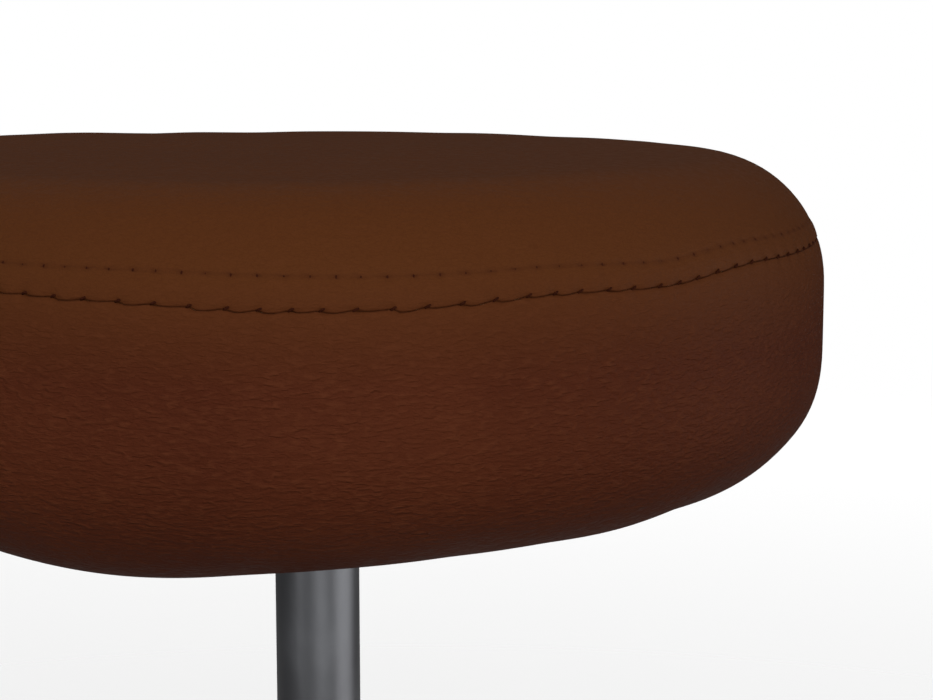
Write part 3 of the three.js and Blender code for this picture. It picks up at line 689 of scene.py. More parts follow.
SEAM_STITCHES = stitch_angles(8.6 * MM, 0.14)
TOP_STITCHES = stitch_angles(6.7 * MM, 0.06)
SCALLOPS = 0.35 + 0.65 * sewing.random(len(SEAM_STITCHES))  # how far each stretch hangs between stitches


def between_stitches(angle, stitches):
    """For each angle: which stitch comes before it, and the share of the way to the next."""
    wrapped = (angle - stitches[0]) % TURN + stitches[0]
    before = np.searchsorted(stitches, wrapped, side="right") - 1
    start = stitches[before]
    end = np.where(before + 1 < len(stitches), stitches[(before + 1) % len(stitches)], stitches[0] + TURN)
    return before, (wrapped - start) / (end - start)


def looseness(angle):
    """How loosely the seam is sewn; it is loosest at the front and at a third of the way round each side."""
    return 0.3 + 0.7 * np.cos(1.5 * angle) ** 2


def scallop(angle):
    """The seam drops just after each stitch and climbs slowly to the next."""
    before, share = between_stitches(angle, SEAM_STITCHES)
    rise = climb(share, 0.4, 1)
    hang = SCALLOPS[before] * looseness(angle) * 0.95 * MM
    return hang * np.minimum(1, share / 0.14) * (1 - rise * rise * (3 - 2 * rise))


def near_stitch(angle, stitches, reach):
    """1 at a stitch, falling to 0 over the reach along the leather."""
    _, share = between_stitches(angle, stitches)
    pitch = TURN / len(stitches) * SEAT_R
    return bell(np.minimum(share, 1 - share) * pitch, reach)


SAGS = ((-30, 25, 3.9), (28, 26, -1.6), (150, 40, 1.5), (-120, 22, -1.0))  # bumps, where the cover hangs
FAR_LEFT = -118  # degrees from the front, where the shoulder stands a little proud
PROUD = 2.1 * MM
HEM_HELD = 14 * MM  # the last stretch before the hem, where the board holds the cover up


def grid(stations, columns):
    """Distance along the section and angle round the seat, for every station and column."""
    angles = np.arange(columns) * TURN / columns - math.pi
    return np.meshgrid(stations, angles, indexing="ij")


def cover_points(distance, angle, offset=0.0, detail=True, field=None):
    """Points of the cover: distance along the section, angle from the front towards +X, offset outwards."""
    below_seam = distance - SEAM_AT
    hanging = scallop(angle) * bell(below_seam, 2.5 * MM) if detail else 0
    r, z, normal_r, normal_z = outline_at(distance + seam_drop(angle) * bell(below_seam, 38 * MM) + hanging)
    lift = np.zeros_like(angle) + offset
    if detail:
        lift = lift + relief(distance, angle)
    r = r + normal_r * lift
    z = z + normal_z * lift
    lower = climb(below_seam, 100 * MM, 40 * MM)
    belly = climb(below_seam, 18 * MM, 78 * MM) * (distance < HEM_AT - HEM_HELD)
    fade = climb(distance, HEM_AT - HEM_HELD, HEM_AT - HEM_HELD - 10 * MM)
    z = z - bumps_round(angle, SAGS) * belly * fade * (1 - 0.65 * lower)
    crown = climb(distance, 40 * MM, 110 * MM) * climb(below_seam, 0, -25 * MM)
    z = z + PROUD * bump_round(angle, FAR_LEFT, 32) * crown
    if field is not None:
        extra = field(distance, angle)
        r = r + extra[0]
        z = z + extra[1]
    return np.stack([r * np.sin(angle), -r * np.cos(angle), z], axis=-1)


def relief(distance, angle):
    """Outward height of the seam's groove, the topstitching and the puckers at each stitch."""
    from_seam = distance - SEAM_AT
    from_row = from_seam + topstitch_above(angle)
    pull = near_stitch(angle, SEAM_STITCHES, 1.7 * MM)
    hole = near_stitch(angle, TOP_STITCHES, 1.0 * MM)
    groove = -(0.3 + 0.35 * pull) * bell(from_seam, 0.8 * MM)
    pucker = -0.3 * pull * bell(from_seam, 3.6 * MM)
    lip = 0.25 * bell(from_seam + 3.4 * MM, 2.8 * MM)
    row = -0.1 * bell(from_row, 1.0 * MM)
    dimple = -0.45 * hole * bell(from_row, 1.1 * MM)
    return (groove + pucker + lip + row + dimple) * MM


# ------------ cushion: cloth simulation

SIM_COLUMNS = 160
SIM_STEP = 6 * MM
SIM_FRAMES = 20
SIM_CAP = 5 * MM  # the furthest that the simulation may move a point
SIM_SHARE = 0.45  # of the simulated unevenness that a well stretched cover shows


CLOTH_SETTINGS = {
    "quality": 6,
    "mass": 0.4,
    "tension_stiffness": 60,
    "compression_stiffness": 60,
    "shear_stiffness": 30,
    "bending_stiffness": 8,
    "use_pressure": True,
    "uniform_pressure_force": 4.0,
    "shrink_min": -0.008,
    "vertex_group_mass": "held",
}


def hold_seam_and_hem(cover, stations):
    """Pin the seam's row, the two rows at the hem, and every third point of the row before them."""
    seam_row = int(np.argmin(abs(stations - SEAM_AT)))
    last = len(stations) - 1
    index = np.arange(len(stations) * SIM_COLUMNS).reshape(-1, SIM_COLUMNS)
    pinned = np.concatenate([index[seam_row], index[last], index[last - 1], index[last - 2, ::3]])
    cover.vertex_groups.new(name="held").add(pinned.tolist(), 1.0, "REPLACE")


def inflated(cover):
    """The places of the cover's points after the simulation."""
    cloth = cover.modifiers.new("cloth", "CLOTH")
    for name, value in CLOTH_SETTINGS.items():
        setattr(cloth.settings, name, value)
    cloth.settings.effector_weights.gravity = 0
    cloth.collision_settings.use_collision = False
    scene = bpy.context.scene
    for number in range(1, SIM_FRAMES + 1):
        scene.frame_set(number)
    settled = cover.evaluated_get(bpy.context.evaluated_depsgraph_get()).data
    places = np.empty(len(settled.vertices) * 3)
    settled.vertices.foreach_get("co", places)
    bpy.data.objects.remove(cover)
    scene.frame_set(1)
    return places


def simulate_cover():
    """Inflate the cover inside its seam and staples, and return its unevenness as a smooth field."""
    stations = np.linspace(SIM_STEP, HEM_AT, int(HEM_AT / SIM_STEP))
    distance, angle = grid(stations, SIM_COLUMNS)
    start = cover_points(distance, angle, offset=-0.8 * MM, detail=False)
    start += np.random.default_rng(28).normal(0, 0.12 * MM, start.shape)
    cover = add_object("cover_sim", grid_mesh("cover_sim", start, cap_first=True, cap_last=True))
    hold_seam_and_hem(cover, stations)
    moved_by = inflated(cover).reshape(start.shape) - start
    size = np.linalg.norm(moved_by, axis=-1, keepdims=True)
    moved_by *= np.minimum(1, SIM_CAP / np.maximum(size, 1e-9))
    out = moved_by[..., 0] * np.sin(angle) - moved_by[..., 1] * np.cos(angle)
    up = moved_by[..., 2]
    out, up = (SIM_SHARE * softened(part - part.mean(axis=1, keepdims=True)) for part in (out, up))
    return field_from(stations, out, up)


def softened(heights):
    """A grid blurred a little along the section and round the seat; round only on its first and last rows."""
    for _ in range(3):
        around = (np.roll(heights, 1, axis=1) + 2 * heights + np.roll(heights, -1, axis=1)) / 4
        heights = around.copy()
        heights[1:-1] = (around[:-2] + 2 * around[1:-1] + around[2:]) / 4
    return heights


def field_from(stations, out, up):
    """Smooth lookup of the two displacement grids at any distance and angle."""

    def weights(share):
        return (
            (-(share**3) + 2 * share**2 - share) / 2,
            (3 * share**3 - 5 * share**2 + 2) / 2,
            (-3 * share**3 + 4 * share**2 + share) / 2,
            (share**3 - share**2) / 2,
        )

    def lookup(distance, angle):
        row = np.interp(distance, stations, np.arange(len(stations)))
        column = (angle + math.pi) / TURN * SIM_COLUMNS
        row0, column0 = np.floor(row).astype(int), np.floor(column).astype(int)
        row_weights, column_weights = weights(row - row0), weights(column - column0)
        result = [0, 0]
        for i, row_weight in enumerate(row_weights):
            rows = np.clip(row0 + i - 1, 0, len(stations) - 1)
            for j, column_weight in enumerate(column_weights):
                columns = (column0 + j - 1) % SIM_COLUMNS
                weight = row_weight * column_weight
                result[0] = result[0] + weight * out[rows, columns]
                result[1] = result[1] + weight * up[rows, columns]
        return result

    return lookup


# ------------ cushion: its pieces

COVER_COLUMNS = 720
THREAD_R = 0.3 * MM


def graded(*stretches):
    """Distances along the section: each stretch is (start, end, step)."""
    parts = [np.linspace(a, b, max(2, round((b - a) / step) + 1))[:-1] for a, b, step in stretches]
    return np.concatenate([*parts, [stretches[-1][1]]])


def cover_panel(name, stations, depths, field, replaced):
    """One panel of the cover; depths says how far each row lies under the outside, where it's tucked in."""
    distance, angle = grid(stations, COVER_COLUMNS)
    points = cover_points(distance, angle, offset=-depths[:, None], field=field)
    mesh = grid_mesh(name, points, cap_first=stations[0] < 2 * MM)
    # painted shade in the seam's groove and in the topstitching's needle holes, kept in the groove attribute for
    # the leather's colour
    groove = 0.36 * bell(distance - SEAM_AT, 0.3 * MM)
    hole = near_stitch(angle, TOP_STITCHES, 0.8 * MM)
    row = (0.18 + 0.42 * hole) * bell(distance - SEAM_AT + topstitch_above(angle), 0.55 * MM)
    attribute = mesh.attributes.new("groove", "FLOAT", "POINT")
    attribute.data.foreach_set("value", np.maximum(groove, row).ravel())
    mesh.flip_normals()
    piece = place_piece(name, mesh, "leather", "seat", replaced)
    thick = piece.modifiers.new("thickness", "SOLIDIFY")
    thick.thickness = LEATHER
    thick.offset = -1
    return piece


def make_cover(field):
    """Both panels, with rows that lie close together where the needle has drawn the leather in."""
    zone = 14 * MM
    edge = 0.05 * MM  # from the seam's middle to each panel's fold
    tuck = np.array([0.7, 1.8, 3.2]) * MM  # depths of the rows that turn in at the seam
    top = graded(
        (1 * MM, 100 * MM, 6 * MM),
        (100 * MM, SEAM_AT - zone, 3 * MM),
        (SEAM_AT - zone, SEAM_AT - 2 * MM, 0.7 * MM),
        (SEAM_AT - 2 * MM, SEAM_AT - edge, 0.4 * MM),
    )
    band = graded(
        (SEAM_AT + edge, SEAM_AT + 2 * MM, 0.4 * MM),
        (SEAM_AT + 2 * MM, SEAM_AT + 7 * MM, 0.9 * MM),
        (SEAM_AT + 7 * MM, HEM_AT - 30 * MM, 2.6 * MM),
        (HEM_AT - 30 * MM, HEM_AT, 1.6 * MM),
    )
    folded = np.full(len(tuck), edge)
    top_rows = np.concatenate([top, SEAM_AT - folded])
    band_rows = np.concatenate([SEAM_AT + folded, band])
    top_depths = np.concatenate([np.zeros(len(top)), tuck])
    band_depths = np.concatenate([tuck[::-1], np.zeros(len(band))])
    cover_panel("seat_top_leather", top_rows, top_depths, field, ["top_panel"])
    cover_panel("seat_side_leather", band_rows, band_depths, field, ["side_band"])


def make_thread(name, stitches, place_at):
    """Each stitch is a short bar of thread that rises out of one needle hole and dives into the next."""
    share = np.linspace(0, 1, 5)
    turn = np.arange(6) * TURN / 6
    work = bmesh.new()
    for stitch in stitches:
        line = np.array([place_at(stitch, u) for u in share])
        along = np.gradient(line, axis=0)
        along /= np.linalg.norm(along, axis=1, keepdims=True)
        side = np.cross(along, (math.sin(stitch), -math.cos(stitch), 0.0))
        side /= np.linalg.norm(side, axis=1, keepdims=True)
        up = np.cross(side, along)
        reach = THREAD_R * np.array([0.7, 1, 1, 1, 0.7])[:, None, None]
        ring = np.cos(turn)[None, :, None] * side[:, None] + np.sin(turn)[None, :, None] * up[:, None]
        bar = grid_mesh("stitch", line[:, None] + reach * ring, cap_first=True, cap_last=True)
        work.from_mesh(bar)
        bpy.data.meshes.remove(bar)
    return place_piece(name, finished(name, work), "leather", "seat", material=THREAD)


def make_stitching(field):
    """The seam's thread, and the thread in the needle holes of the row above it."""

    def on_cover(distance, angle, offset):
        place = np.array([distance]), np.array([angle])
        return cover_points(*place, offset=offset, detail=False, field=field)[0]

    def seam_place(stitch, share):
        """A comma across the seam, from its lower left to its upper right."""
        angle = stitch + (share - 0.5) * 2.0 * MM / SEAT_R
        return on_cover(SEAM_AT + (0.35 - 1.1 * share) * MM, angle, (-0.2 - 0.8 * (2 * share - 1) ** 2) * MM)

    def hole_place(stitch, share):
        """The short bit of thread that shows in one needle hole."""
        distance = SEAM_AT - topstitch_above(stitch) + (share - 0.5) * 1.3 * MM
        return on_cover(distance, stitch, (-0.5 - 0.5 * (2 * share - 1) ** 2) * MM)

    make_thread("seam_thread", SEAM_STITCHES, seam_place)
    make_thread("topstitch_thread", TOP_STITCHES, hole_place)


def make_foam(field):
    """The moulded foam under the leather, down to where it wraps the board's edge."""
    stations = graded((2 * MM, 110 * MM, 9 * MM), (110 * MM, HEM_AT - 16 * MM, 5 * MM))
    distance, angle = grid(stations, 120)
    outer = cover_points(distance, angle, offset=-2.9 * MM, detail=False, field=field)
    board_r = high("seat_board").x + 0.5 * MM
    board_top = high("seat_board").z + 0.5 * MM
    inner = [
        [(radius * math.sin(a), -radius * math.cos(a), height) for a in angle[0]]
        for radius, height in ((board_r, BOARD_UNDER), (board_r, board_top), (2 * MM, board_top))
    ]
    points = np.concatenate([outer, np.array(inner)])
    mesh = grid_mesh("foam", points, cap_first=True, cap_last=True)
    mesh.flip_normals()
    piece = place_piece("foam", mesh, "foam", "seat", ["foam_cushion"])


# ------------ hardware kit


def moved(mesh, *matrices):
    """The mesh after each transform in turn."""
    for matrix in matrices:
        mesh.transform(matrix)
    mesh.update()
    return mesh


def shifted(mesh, x, y, z):
    return moved(mesh, Matrix.Translation((x, y, z)))


def turned_by(mesh, degrees, axis):
    return moved(mesh, Matrix.Rotation(math.radians(degrees), 4, axis))


def baked(name, piece):
    """The piece's mesh with its modifiers applied; the piece itself is removed."""
    mesh = bpy.data.meshes.new_from_object(piece.evaluated_get(bpy.context.evaluated_depsgraph_get()))
    mesh.name = name
    bpy.data.objects.remove(piece)
    return mesh


def carved(name, base, joined=(), removed=(), kept=()):
    """Join closed meshes to the base, cut others away, and keep only what lies in the last ones."""
    work = add_object("work", base)
    helpers = []
    for operation, meshes in (("UNION", joined), ("DIFFERENCE", removed), ("INTERSECT", kept)):
        for mesh in meshes:
            helper = add_object("helper", mesh)
            helpers.append(helper)
            modifier = work.modifiers.new(operation, "BOOLEAN")
            modifier.operation = operation
            modifier.solver = "MANIFOLD"
            modifier.object = helper
    mesh = baked(name, work)
    for helper in helpers:
        bpy.data.objects.remove(helper)
    return mesh


def cast(name, mesh, voxel, passes):
    """Round every edge and inner corner, as a casting has them."""
    work = add_object("work", mesh)
    remesh = work.modifiers.new("remesh", "REMESH")
    remesh.mode = "VOXEL"
    remesh.voxel_size = voxel
    smooth = work.modifiers.new("smooth", "SMOOTH")
    smooth.factor = 0.5
    smooth.iterations = passes
    return baked(name, work)


def drum(radius, bottom, top, corner=0.4 * MM, segments=64):
    """A cylinder about Z with rounded rims."""
    outline = [(0, bottom), (radius, bottom), (radius, top), (0, top)]
    return turned_mesh("drum", rounded(outline, corner, 3), segments)


def block(low_corner, high_corner):
    work = bmesh.new()
    bmesh.ops.create_cube(work, size=1)
    size = Vector(high_corner) - Vector(low_corner)
    middle = (Vector(high_corner) + Vector(low_corner)) / 2
    return moved(finished("block", work), Matrix.Diagonal((*size, 1)), Matrix.Translation(middle))


def sharpened(mesh, degrees=35):
    work = bmesh.new()
    work.from_mesh(mesh)
    keep_corners(work, degrees)
    work.to_mesh(mesh)
    work.free()
    return mesh


def softened_copy(name, node, width, body):
    """A CAD node's own shape, its flat facets merged and its edges rounded."""
    work = bmesh.new()
    work.from_mesh(frame["nodes"][node].data)
    bmesh.ops.remove_doubles(work, verts=work.verts, dist=0.01 * MM)
    bmesh.ops.dissolve_limit(work, angle_limit=math.radians(0.5), verts=work.verts, edges=work.edges)
    keep_corners(work)
    return bevelled(place_piece(name, finished(name, work), SLOTS[node], body, [node]), width)


# ------------ gas lift

TUBE_R = high("pressure_tube").x
TUBE_TOP = high("pressure_tube").z
TUBE_FOOT = low("pressure_tube").z
TUBE_TAPER = 0.8 * MM  # how much its radius shrinks over the taper
TUBE_TAPER_LENGTH = 29 * MM
TUBE_WALL = 1.5 * MM
COLUMN_R = high("outer_column").x
COLUMN_FOOT = low("outer_column").z
COLUMN_TOP = high("outer_column").z
COLUMN_TAPER = 1.6 * MM
COLUMN_WALL = 1.5 * MM
HUB_TOP = high("star_base").z - 0.2 * MM
FACETS = 128  # round pieces that are seen from close by


def make_pressure_tube():
    taper_foot = TUBE_TOP - TUBE_TAPER_LENGTH
    neck = TUBE_R - TUBE_TAPER
    foot_bore, top_bore = 9 * MM, 8 * MM
    outline = [
        (foot_bore, TUBE_FOOT), (TUBE_R, TUBE_FOOT), (TUBE_R, taper_foot), (neck, TUBE_TOP),
        (top_bore, TUBE_TOP), (top_bore, TUBE_TOP - TUBE_WALL), (neck - TUBE_WALL, TUBE_TOP - TUBE_WALL),
        (TUBE_R - TUBE_WALL, taper_foot), (TUBE_R - TUBE_WALL, TUBE_FOOT + TUBE_WALL),
        (foot_bore, TUBE_FOOT + TUBE_WALL),
    ]
    mesh = turned_mesh("gas_spring_tube", rounded(outline, 1.2 * MM), FACETS)
    place_piece("gas_spring_tube", mesh, "dark_steel", "seat", ["pressure_tube"])


def make_column():
    """Chromed tube with a rolled upper rim; its foot tapers into the base's hub."""
    floor = COLUMN_FOOT + 4 * MM
    inner = COLUMN_R - COLUMN_WALL
    foot = COLUMN_R - COLUMN_TAPER
    bore = 4.6 * MM
    outline = [
        (bore, COLUMN_FOOT), (foot, COLUMN_FOOT), (foot, floor), (COLUMN_R, HUB_TOP), (COLUMN_R, COLUMN_TOP),
        (inner, COLUMN_TOP), (inner, HUB_TOP), (foot - COLUMN_WALL, floor), (bore, floor),
    ]
    mesh = turned_mesh("lift_column", rounded(outline, 0.7 * MM), FACETS)
    place_piece("lift_column", mesh, "chrome", "base", ["outer_column"])


def make_bush():
    """The nylon collar on top of the column, with a wiper lip round the tube and grip notches."""
    top = high("guide_bush").z
    foot = low("guide_bush").z
    outer = high("guide_bush").x
    inside = COLUMN_R - COLUMN_WALL - 0.3 * MM
    bore = TUBE_R + 0.3 * MM
    seat = COLUMN_TOP + 0.3 * MM
    outline = [
        (bore, foot), (inside, foot), (inside, seat), (outer, seat), (outer, top - 1.2 * MM),
        (outer - 2.2 * MM, top - 0.4 * MM), (bore + 2.6 * MM, top - 0.4 * MM), (bore + 1.6 * MM, top),
        (bore, top),
    ]
    body = turned_mesh("guide_collar", rounded(outline, 0.5 * MM), FACETS)
    notch = block((outer - 0.9 * MM, -1.1 * MM, seat + 0.6 * MM), (outer + 1 * MM, 1.1 * MM, top + 1 * MM))
    notches = [turned_by(notch.copy(), 45 * k, "Z") for k in range(8)]
    mesh = sharpened(carved("guide_collar", body, removed=notches))
    place_piece("guide_collar", mesh, "nylon", "base", ["guide_bush"])


def make_socket():
    """The cup welded under the plate, with its ring of weld."""
    bottom = low("taper_socket").z
    top = high("taper_socket").z
    rim = high("taper_socket").x
    cup = rim - 5 * MM
    bore = TUBE_R + 0.2 * MM
    weld = top - 1.6 * MM
    outline = [
        (bore, bottom), (cup, bottom), (cup, top - 5 * MM), (rim - 1 * MM, weld), (rim, weld), (rim, top),
        (bore - 0.4 * MM, top),
    ]
    mesh = turned_mesh("lift_socket", rounded(outline, 1.0 * MM, 6), FACETS)
    place_piece("lift_socket", mesh, "black_steel", "seat", ["taper_socket"])


# ------------ star base

LEGS = 5
FIRST_LEG = 9  # degrees
LEG_PATH_TOP = ((0, 127), (150, 113), (239, 91))  # millimetres out and up; start, bend and end of a curve
LEG_PATH_UNDER = ((0, 86), (120, 88), (203, 72))
LEG_TIP = 225 * MM
LEG_TIP_R = 14 * MM
LEG_TIP_FOOT = low("star_base").z
LEG_ROOT_HALF_WIDTH = 20 * MM
LEG_WALL = 3.5 * MM
LEG_BOSS_LENGTH = 24 * MM
LEG_SIDE_POWER = 12  # straight sides down to flat rims
LEG_CROWN_POWER = 3.2  # a crowned top
RIB_DEPTH = 9 * MM
HUB_R = 34 * MM
HUB_FOOT = 70 * MM
HUB_CHAMFER = 5 * MM
STEM_BORE_R = 6.1 * MM
CAST_VOXEL = 1.2 * MM


def curve_height(path, out):
    """Height of a quadratic curve, given in millimetres, at distances out from the axis."""
    share = np.linspace(0, 1, 60)[:, None]
    start, bend, end = (np.array(point) * MM for point in path)
    points = (1 - share) ** 2 * start + 2 * share * (1 - share) * bend + share**2 * end
    return np.interp(out, points[:, 0], points[:, 1])


def leg_half_width(out):
    return LEG_ROOT_HALF_WIDTH + (LEG_TIP_R - LEG_ROOT_HALF_WIDTH) * out / LEG_TIP


def leg_mesh():
    """One leg out along X: a crowned bar that narrows to a round tip."""
    round_end = LEG_TIP + LEG_TIP_R * np.sin(np.linspace(0, math.pi / 2 - 0.12, 9))
    out = np.concatenate([np.linspace(0, LEG_TIP, 70)[:-1], round_end])
    round_width = np.sqrt(np.maximum(LEG_TIP_R**2 - (out - LEG_TIP) ** 2, 0))
    width = np.where(out > LEG_TIP, round_width, leg_half_width(out))
    top = curve_height(LEG_PATH_TOP, out)
    under = curve_height(LEG_PATH_UNDER, out)
    boss = climb(out, LEG_TIP - LEG_BOSS_LENGTH, LEG_TIP - LEG_BOSS_LENGTH + 10 * MM)
    under = under + (LEG_TIP_FOOT - under) * boss * boss * (3 - 2 * boss)
    turn = np.arange(96) * TURN / 96
    power = np.where(np.sin(turn) < 0, LEG_SIDE_POWER, LEG_CROWN_POWER)
    reach = (np.abs(np.cos(turn)) ** power + np.abs(np.sin(turn)) ** power) ** (-1 / power)
    x = np.repeat(out[:, None], len(turn), axis=1)
    y = width[:, None] * reach * np.cos(turn)
    z = ((top + under) / 2)[:, None] + ((top - under) / 2)[:, None] * reach * np.sin(turn)
    return grid_mesh("leg", np.stack([x, y, z], axis=-1), cap_first=True, cap_last=True)


def hollow_mesh():
    """The space under a leg, with a low rib left across its middle."""
    inner = HUB_R + LEG_WALL
    outer = LEG_TIP - LEG_TIP_R - LEG_WALL
    out = np.linspace(inner, outer, 60)
    width = leg_half_width(out) - LEG_WALL
    rib = RIB_DEPTH * bell(out - (inner + outer) / 2, 3 * MM)
    top = curve_height(LEG_PATH_TOP, out) - LEG_WALL - 1 * MM - rib
    bottom = HUB_FOOT - 14 * MM
    rows = [
        [(x, -w, bottom), (x, w, bottom), (x, w * 0.8, z), (x, -w * 0.8, z)]
        for x, w, z in zip(out, width, top)
    ]
    return grid_mesh("hollow", np.array(rows), cap_first=True, cap_last=True)


def make_star_base():
    stem_bore = shifted(drum(STEM_BORE_R, 50 * MM, 88 * MM), LEG_TIP, 0, 0)
    one_leg = carved("leg", leg_mesh(), removed=[hollow_mesh(), stem_bore])
    legs = [turned_by(one_leg.copy(), FIRST_LEG + 360 * k / LEGS, "Z") for k in range(LEGS)]
    hub_outline = [
        (0, HUB_FOOT), (HUB_R, HUB_FOOT), (HUB_R, HUB_TOP - HUB_CHAMFER), (HUB_R - HUB_CHAMFER, HUB_TOP),
        (0, HUB_TOP),
    ]
    past = 9 * MM  # how far the bore's cutter reaches out of the hub
    bore_outline = [
        (0, HUB_FOOT - past), (COLUMN_R - COLUMN_TAPER, HUB_FOOT - past),
        (COLUMN_R + 0.2 * MM, HUB_TOP + past), (0, HUB_TOP + past),
    ]
    hub, bore = (turned_mesh("hub", outline, FACETS) for outline in (hub_outline, bore_outline))
    whole = carved("five_star_base", hub, joined=legs, removed=[bore])
    mesh = cast("five_star_base", whole, CAST_VOXEL, 9)
    place_piece("five_star_base", mesh, "aluminium", "base", ["star_base"])


# ------------ casters

AXLE_TO_STEM = 20 * MM
CASTER_HEADING = 225  # degrees: the way all five casters trail
WHEEL_R = (high("wheel_left_1").z - low("wheel_left_1").z) / 2
WHEEL_WIDTH = 18 * MM
WHEEL_INSET = 7.5 * MM
TREAD_DEPTH = 5 * MM
HOOD_R = 30 * MM
HOOD_WALL = 2.8 * MM
HOOD_HALF_WIDTH = 27 * MM
HOOD_WEB_HALF = 5.5 * MM
HOOD_FOOT = low("caster_hood_1").z
HOOD_TOP = high("caster_hood_1").z
BOSS_FOOT = 40 * MM
PIN_R = 4 * MM


def across_axle(mesh):
    """Lay a mesh made about Z along Y instead, round the axle."""
    return shifted(turned_by(mesh, 90, "X"), AXLE_TO_STEM, 0, WHEEL_R)


def hood_mesh():
    """A shell over both wheels with a web between them and a boss for the stem."""
    face, rim = HOOD_HALF_WIDTH, HOOD_R - 0.6 * MM
    flat = HOOD_R - 6 * MM
    shell_outline = [
        (0, -face + 3 * MM), (flat, -face), (rim, -face), (HOOD_R, 0), (rim, face), (flat, face),
        (0, face - 3 * MM),
    ]
    body = across_axle(turned_mesh("hood", rounded(shell_outline, 1.6 * MM), 112))
    boss_outline = [(0, BOSS_FOOT), (13 * MM, BOSS_FOOT), (9.5 * MM, HOOD_TOP), (0, HOOD_TOP)]
    boss = turned_mesh("boss", rounded(boss_outline, 1.4 * MM), 72)
    past = 9 * MM  # how far the wheels' pockets are cut beyond the hood
    spans = ((HOOD_WEB_HALF, face + past), (-face - past, -HOOD_WEB_HALF))
    pockets = [across_axle(drum(HOOD_R - HOOD_WALL, *span, 1.5 * MM, 96)) for span in spans]
    below = block((-0.1, -0.1, -0.1), (0.1, 0.1, HOOD_FOOT))
    pin_bore = drum(PIN_R + 0.3 * MM, BOSS_FOOT + 4 * MM, HOOD_TOP + 5 * MM, segments=32)
    axle_bore = across_axle(drum(3.3 * MM, -face, face, segments=32))
    return sharpened(carved("hood", body, joined=[boss], removed=[*pockets, below, pin_bore, axle_bore]), 28)


def tread_mesh():
    """The polyurethane ring of one wheel about Z, its inner side down."""
    core = WHEEL_R - TREAD_DEPTH
    outline = [
        (core, 0.6 * MM), (WHEEL_R - 1.5 * MM, 0), (WHEEL_R, 2 * MM), (WHEEL_R, WHEEL_WIDTH - 3 * MM),
        (WHEEL_R - 2.5 * MM, WHEEL_WIDTH - 0.3 * MM), (core, WHEEL_WIDTH - 0.6 * MM),
    ]
    return turned_mesh("tread", rounded(outline, 1.6 * MM, 5), 112)


def core_mesh():
    """The nylon centre of one wheel: a dished face with a raised cap, open towards the axle behind."""
    rim = WHEEL_R - TREAD_DEPTH
    bore = 3.4 * MM
    floor = WHEEL_WIDTH - 3 * MM
    dish = WHEEL_WIDTH - 2.5 * MM
    outline = [
        (0, floor), (bore, floor), (bore, 0), (6.5 * MM, 0), (7 * MM, 4 * MM), (rim - 2.4 * MM, 4 * MM),
        (rim - 2 * MM, 0.4 * MM), (rim - 0.01 * MM, 0.4 * MM), (rim - 0.01 * MM, WHEEL_WIDTH),
        (rim - 2.2 * MM, WHEEL_WIDTH), (rim - 3.6 * MM, dish), (9 * MM, dish + 0.3 * MM),
        (8 * MM, WHEEL_WIDTH - 0.6 * MM), (0, WHEEL_WIDTH - 0.2 * MM),
    ]
    return turned_mesh("core", rounded(outline, 0.7 * MM, 3), 96)


def stem_mesh():
    """A pin that turns in the hood, a collar over the hood, and a shaft up into the leg."""
    collar = HOOD_TOP + 0.3 * MM
    foot, top = low("caster_stem_1").z, high("caster_stem_1").z
    collar_r, shaft_r = 8 * MM, 5.5 * MM
    outline = [
        (0, foot), (PIN_R, foot), (PIN_R, collar), (collar_r, collar), (collar_r, collar + 2 * MM),
        (shaft_r, collar + 2 * MM), (shaft_r, top - 3 * MM), (4.2 * MM, top), (0, top),
    ]
    return turned_mesh("stem", rounded(outline, 0.4 * MM, 3), 64)


def make_casters():
    """Each caster's stem is part of the base; its hood swivels, and its wheels spin in the hood."""
    hood, stem = hood_mesh(), stem_mesh()
    wheel_parts = (("tread", tread_mesh(), "tread"), ("core", core_mesh(), "nylon"))
    heading = Matrix.Rotation(math.radians(CASTER_HEADING), 4, "Z")
    swivels = [joint for joint in frame["joints"] if joint["name"].startswith("caster_swivel")]
    for number, joint in enumerate(swivels, 1):
        place = Matrix.Translation((joint["pos_m"][0], joint["pos_m"][1], 0))
        turned_hood = moved(hood.copy(), heading, place)
        place_piece(f"hood_{number}", turned_hood, "nylon", f"caster_{number}", [f"caster_hood_{number}"])
        place_piece(
            f"stem_{number}", moved(stem.copy(), place), "zinc", "base", [f"caster_stem_{number}"]
        )
        for side, sign in (("left", 1), ("right", -1)):
            upright = Matrix.Rotation(-sign * math.pi / 2, 4, "X")
            inset = Matrix.Translation((AXLE_TO_STEM, sign * WHEEL_INSET, WHEEL_R))
            for part, mesh, slot in wheel_parts:
                placed = moved(mesh.copy(), upright, inset, heading, place)
                replaced = [f"wheel_{side}_{number}"] if part == "tread" else ()
                place_piece(
                    f"wheel_{part}_{side}_{number}", placed, slot, f"{side}_wheel_{number}", replaced
                )


# ------------ under the seat

LEVER_HEIGHT = (low("lever_pivot_pin").z + high("lever_pivot_pin").z) / 2
PIVOT = Vector((-44 * MM, 0, LEVER_HEIGHT))
LEVER_ROD_R = 4 * MM
LEVER_STATIONS = 70
LEVER_HALF_WIDTH = 6 * MM
LEVER_POINTS = (  # millimetres out from the lift's axis and up from the pivot
    (-44, 0), (-56, -4), (-70, -18), (-88, -26), (-120, -29), (-178, -31),
)


